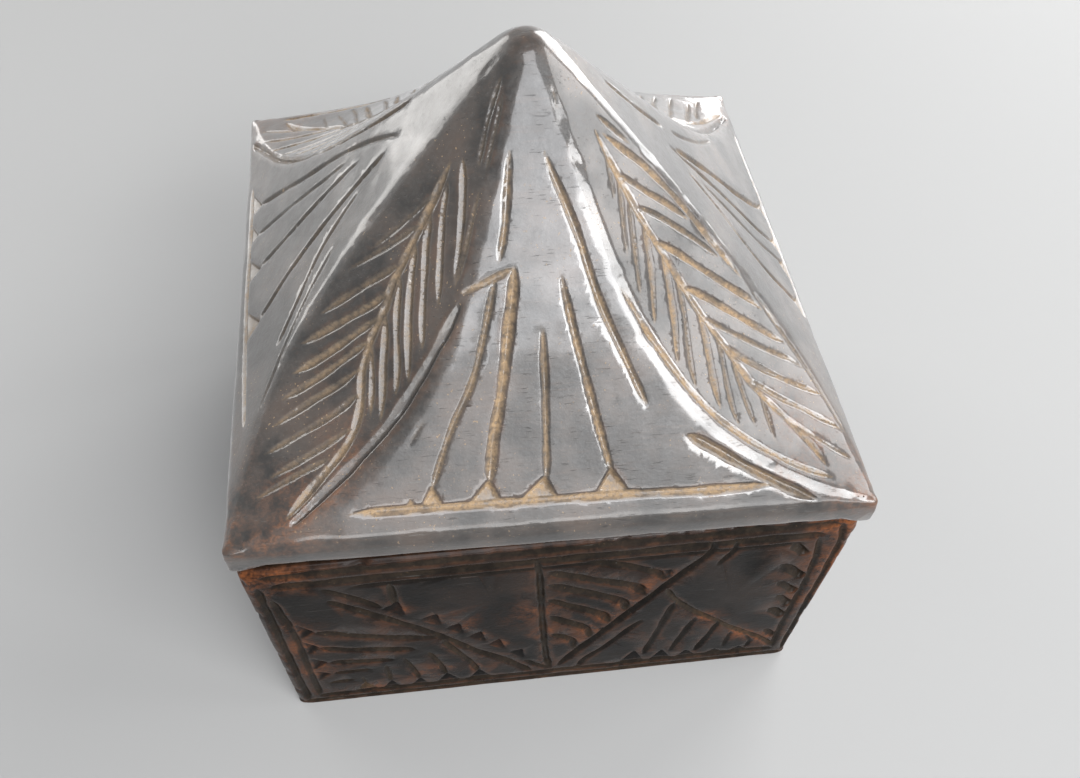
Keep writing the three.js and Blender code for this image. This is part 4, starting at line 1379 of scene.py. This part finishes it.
@dataclass(frozen=True)
class StainedWood:
    """Dark stained wood under worn wax: dust in its cuts, brown where hands have rubbed it."""

    name: str
    grain_turn: Triple
    deep: Colour = (0.0075, 0.006, 0.0055)
    stain: Colour = (0.026, 0.021, 0.018)
    brown: Colour = (0.070, 0.034, 0.017)
    edge: Colour = (0.070, 0.034, 0.017)
    edge_share: float = 0.55
    rubbed: Colour = (0.205, 0.082, 0.030)
    dust: Colour = (0.300, 0.195, 0.105)
    # Grey haze: partly a dust film, partly a painted sheen standing in for the wax's reflection.
    haze_and_painted_sheen: Colour = (0.155, 0.155, 0.150)
    haze_and_painted_sheen_share: float = 0.10
    dust_share: float = 0.85
    speck_share: float = 0.6
    bare: Colour = (0.085, 0.050, 0.029)
    rub_on_flats: float = 0.35
    index: float = 1.5
    coat: float = 0.30
    coat_roughness: float = 0.15
    coat_index: float = 1.5
    sheen: float = 0.0
    satin: float = 0.34
    sheen_roughness: float = 0.4
    relief: float = 0.16
    relief_share: float = 0.5
    blotch_size: float = 11.0
    mottle_size: float = 2.4
    speckle_size: float = 0.55
    pore_size: float = 0.22
    scratch_size: float = 0.32
    speck_size: float = 0.35
    drawn_out: Triple = (0.09, 1.0, 1.0)
    scratch_drawn_out: Triple = (0.03, 1.0, 1.0)
    scratch_turns: tuple[Triple, Triple] = ((0.4, 0.7, 0.5), (1.1, 0.2, 2.0))

    def dress(self, piece: bpy.types.Object) -> None:
        """Gives a piece this finish.

        Args:
            piece: The piece, with its marks for cuts, dust, worn arrises and hollows that take painted
                shade.
        """
        sheet = Sheet(bpy.data.materials.new(self.name))
        place = sheet.add("ShaderNodeTexCoord", {}, {}, "Object")
        blotches = sheet.noise(place, self.blotch_size, 4.0)
        mottle = sheet.noise(place, self.mottle_size, 4.0, 0.6)
        speckle = sheet.noise(place, self.speckle_size, 2.0, 0.5)
        fibre_place = sheet.stretched(place, self.grain_turn, self.drawn_out)
        fibre = sheet.noise(fibre_place, self.speckle_size, 3.0, 0.6)
        pores = sheet.noise(fibre_place, self.pore_size, 1.0).rising(0.63, 0.71)
        pores = pores * mottle.rising(0.40, 0.65)
        ways = (sheet.stretched(place, turn, self.scratch_drawn_out) for turn in self.scratch_turns)
        one, other = (sheet.noise(way, self.scratch_size, 1.0).rising(0.71, 0.76) for way in ways)
        scratches = (one + other) * mottle.rising(0.45, 0.6)
        cut, hollow = sheet.mark("cut"), sheet.mark("hollow")
        arris, inside = sheet.mark("arris"), sheet.mark("inside")
        outside = 1.0 - inside

        warmth = (blotches.rising(0.42, 0.72) * 0.55 + fibre.rising(0.5, 0.8) * 0.25).held()
        # Painted sheen with dust haze: a blotchy grey lightening of the outside.
        haze_and_painted_sheen = (blotches.rising(0.35, 0.65) * 0.6 + speckle.rising(0.45, 0.7) * 0.4) * self.haze_and_painted_sheen_share
        edge_wear = arris.rising(0.35, 0.95) * (0.25 + mottle.rising(0.42, 0.62) * 0.75)
        rubbing = sheet.mark("rubbed") * (0.30 + speckle.rising(0.36, 0.62) * 0.7)
        rubbing = rubbing * (self.rub_on_flats + arris * 0.9)
        rubbing = (rubbing * mottle.rising(0.30, 0.58)).held()
        dust = sheet.mark("dust") * (0.45 + mottle.rising(0.35, 0.6) * 0.6)
        dust = dust * (0.55 + speckle.rising(0.3, 0.6) * 0.5)
        specks = sheet.noise(place, self.speck_size, 0.0).rising(0.76, 0.80)
        specks = specks * blotches.rising(0.45, 0.6) * outside
        dust = ((dust + specks * self.speck_share) * self.dust_share).held()

        colour = sheet.mix(mottle.rising(0.3, 0.75), self.deep, self.stain)
        for share, shade in (
            (warmth, self.brown),
            (haze_and_painted_sheen * outside, self.haze_and_painted_sheen),
            ((pores * 0.6).held(), self.deep),
            # Painted shade with dirt: creases and hollows pulled towards the deepest tone.
            ((hollow * 0.75).held(), self.deep),
            (edge_wear.held() * outside * self.edge_share, self.edge),
            (rubbing, self.rubbed),
            (dust, self.dust),
            ((scratches * 0.22).held() * outside, self.haze_and_painted_sheen),
            ((inside * (0.55 + mottle * 0.5)).held(), self.bare),
        ):
            colour = sheet.mix(share, colour, shade)

        roughness = self.satin + mottle.rising(0.3, 0.7) * 0.16 + dust * 0.40 + inside * 0.30
        roughness = roughness + rubbing * 0.12 + hollow * 0.15 + scratches * 0.15
        roughness = roughness + blotches.rising(0.4, 0.6) * 0.06 - arris.rising(0.2, 0.8) * 0.12
        coat = (self.coat * outside) * (1.0 - dust.held()) * (0.65 + blotches.rising(0.40, 0.60) * 0.35)
        coat = coat * (1.0 - pores * 0.6) * (1.0 - rubbing * 0.6)
        height = fibre * 0.2 - pores * 0.5 + speckle * 0.4 + mottle * 0.9 - scratches * 0.3
        height = height + cut * speckle * 0.8
        relief = {"Strength": self.relief_share, "Distance": self.relief * MM, "Height": height}
        bump = sheet.add("ShaderNodeBump", {}, relief)
        shader = sheet.add(
            "ShaderNodeBsdfPrincipled",
            {},
            {
                "Base Color": colour,
                "Roughness": roughness.held(),
                "IOR": self.index,
                "Coat Weight": coat.held(),
                "Coat Roughness": self.coat_roughness,
                "Coat IOR": self.coat_index,
                "Sheen Weight": self.sheen,
                "Sheen Roughness": self.sheen_roughness,
                "Normal": bump,
            },
        )
        sheet.close("ShaderNodeOutputMaterial", shader)
        piece.data.materials.clear()
        piece.data.materials.append(sheet.owner)


BOX_FINISH = StainedWood(
    "box_wood",
    (0.0, 0.0, 0.0),
    deep=(0.0028, 0.0024, 0.0022),
    stain=(0.0095, 0.008, 0.007),
    brown=(0.017, 0.010, 0.007),
    edge=(0.055, 0.024, 0.013),
    edge_share=0.70,
    rubbed=(0.185, 0.062, 0.022),
    haze_and_painted_sheen_share=0.012,
    speck_share=0.25,
    rub_on_flats=0.12,
    dust_share=0.45,
    index=1.12,
    satin=0.32,
    coat=0.22,
    coat_roughness=0.12,
)
LID_FINISH = StainedWood(
    "lid_wood",
    (0.0, 0.0, math.pi / 2),
    rubbed=(0.150, 0.058, 0.022),
    dust=(0.360, 0.250, 0.145),
    # The lid's grey-green haze is partly a dust film and partly a painted sheen.
    haze_and_painted_sheen=(0.152, 0.158, 0.148),
    haze_and_painted_sheen_share=0.14,
    coat=1.0,
    coat_roughness=0.11,
    coat_index=1.6,
    sheen=0.2,
    satin=0.36,
)


@dataclass(frozen=True)
class Lamp:
    """A soft light that faces the object, square where it has no height of its own."""

    name: str
    towards: Triple
    distance: float
    size: float
    watts: float
    colour: Colour = WHITE
    tall: float = 0.0


@dataclass
class Studio:
    """The pale floor and backdrop, the soft light and the camera."""

    aim: Triple = (0.0, 0.0, 0.055)
    floor_half: float = 20.0
    floor_colour: Colour = (0.36, 0.36, 0.356)
    floor_roughness: float = 0.75
    backdrop_colour: Colour = (0.70, 0.70, 0.695)
    backdrop_from: Pair = (0.22, 0.75)
    sky_colour: Colour = (0.90, 0.93, 1.0)
    sky_strength: float = 0.13
    camera_place: Triple = (-0.01283, -0.10482, 0.17053)
    camera_turns: Triple = (-8.97, 36.51, 2.69)
    focal_pixels: float = 968.7
    picture_width: float = 1080.0
    sensor: float = 36.0
    lamps: tuple[Lamp, ...] = (
        Lamp("low_front", (0.20, -0.95, 0.25), 1.40, 1.22, 4.6, WHITE, 0.24),
        Lamp("over_camera", (0.11, -0.86, 0.48), 1.30, 0.73, 1.95, (0.97, 0.98, 1.0), 0.45),
        Lamp("above", (0.13, -0.54, 0.83), 1.30, 0.73, 12.6, (0.96, 0.97, 1.0), 0.97),
        Lamp("window", (0.50, -0.62, 0.61), 1.20, 0.75, 10.6, WHITE, 0.34),
        Lamp("right_window", (0.86, 0.02, 0.51), 1.10, 0.55, 4.8),
        Lamp("behind_right", (0.66, 0.72, 0.24), 1.00, 0.70, 11.5),
        Lamp("behind_left", (-0.68, 0.70, 0.22), 1.00, 0.60, 4.2, (1.0, 0.98, 0.95)),
    )

    def build(self) -> None:
        """Sets up the floor, the lights, the sky and the camera."""
        self.lay_floor()
        self.light()
        self.set_camera()
        bpy.context.scene.view_settings.view_transform = "Standard"

    def lay_floor(self) -> None:
        """Lays the pale floor."""
        bpy.ops.object.select_all(action="DESELECT")
        bpy.ops.mesh.primitive_plane_add(size=2 * self.floor_half, location=(0.0, 0.0, 0.0))
        floor = bpy.context.object
        floor.name = "floor"
        sheet = Sheet(bpy.data.materials.new("pale_floor"))
        paint = {"Base Color": (*self.floor_colour, 1.0), "Roughness": self.floor_roughness}
        near = sheet.add("ShaderNodeBsdfPrincipled", {}, paint)
        far = sheet.add("ShaderNodeEmission", {}, {"Color": (*self.backdrop_colour, 1.0)})
        place = sheet.add("ShaderNodeTexCoord", {}, {}, "Object")
        distance = sheet.add("ShaderNodeVectorMath", {"operation": "LENGTH"}, {0: place}, "Value")
        share = distance.rising(*self.backdrop_from) * sheet.seen()
        mixed = sheet.add("ShaderNodeMixShader", {}, {0: share, 1: near, 2: far})
        sheet.close("ShaderNodeOutputMaterial", mixed)
        floor.data.materials.append(sheet.owner)

    def light(self) -> None:
        """Hangs the lamps and lights the sky."""
        aim = Vector(self.aim)
        for lamp in self.lamps:
            data = bpy.data.lights.new(lamp.name, "AREA")
            data.shape = "RECTANGLE"
            data.size = lamp.size
            data.size_y = lamp.tall or lamp.size
            data.energy = lamp.watts
            data.color = lamp.colour
            place = bpy.data.objects.new(lamp.name, data)
            way = Vector(lamp.towards).normalized()
            place.location = aim + way * lamp.distance
            place.rotation_euler = way.to_track_quat("Z", "Y").to_euler()
            bpy.context.scene.collection.objects.link(place)
        world = bpy.data.worlds.new("sky")
        sheet = Sheet(world)
        sky = sheet.add("ShaderNodeBackground", {}, {0: (*self.sky_colour, 1.0), 1: self.sky_strength})
        backdrop = sheet.add("ShaderNodeBackground", {}, {0: (*self.backdrop_colour, 1.0), 1: 1.0})
        mixed = sheet.add("ShaderNodeMixShader", {}, {0: sheet.seen(), 1: sky, 2: backdrop})
        sheet.close("ShaderNodeOutputWorld", mixed)
        bpy.context.scene.world = world

    def set_camera(self) -> None:
        """Puts the camera where the photograph was taken from."""
        data = bpy.data.cameras.new("camera")
        data.sensor_width = self.sensor
        data.lens = self.focal_pixels / self.picture_width * self.sensor
        data.clip_start = 0.01
        data.clip_end = 100.0
        camera = bpy.data.objects.new("camera", data)
        around, down, roll = (math.radians(turn) for turn in self.camera_turns)
        camera.matrix_world = (
            Matrix.Translation(self.camera_place)
            @ Matrix.Rotation(around, 4, "Z")
            @ Matrix.Rotation(down, 4, "X")
            @ Matrix.Rotation(roll, 4, "Z")
        )
        bpy.context.scene.collection.objects.link(camera)
        bpy.context.scene.camera = camera


def main() -> None:
    """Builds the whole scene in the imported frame."""
    logging.basicConfig(level=logging.INFO, format="%(message)s")
    bpy.ops.object.select_all(action="DESELECT")
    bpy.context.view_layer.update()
    Studio().build()
    box_low, box_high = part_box("box_body")
    lid_low, lid_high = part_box("lid")
    box = CarvedBox(
        "carved_box", "box_body", "box", "box_wood", Vector(box_low), Vector(box_high), seed=11
    )
    lid = CarvedLid(
        "carved_lid", "lid", "lid", "lid_wood", Vector(lid_low), Vector(lid_high),
        ripple=0.14, nick=0.2, arris_wear=0.9, ease_rounds=130, seed=29,
    )
    BOX_FINISH.dress(box.make())
    LID_FINISH.dress(lid.make())


if __name__ == "__main__":
    main()
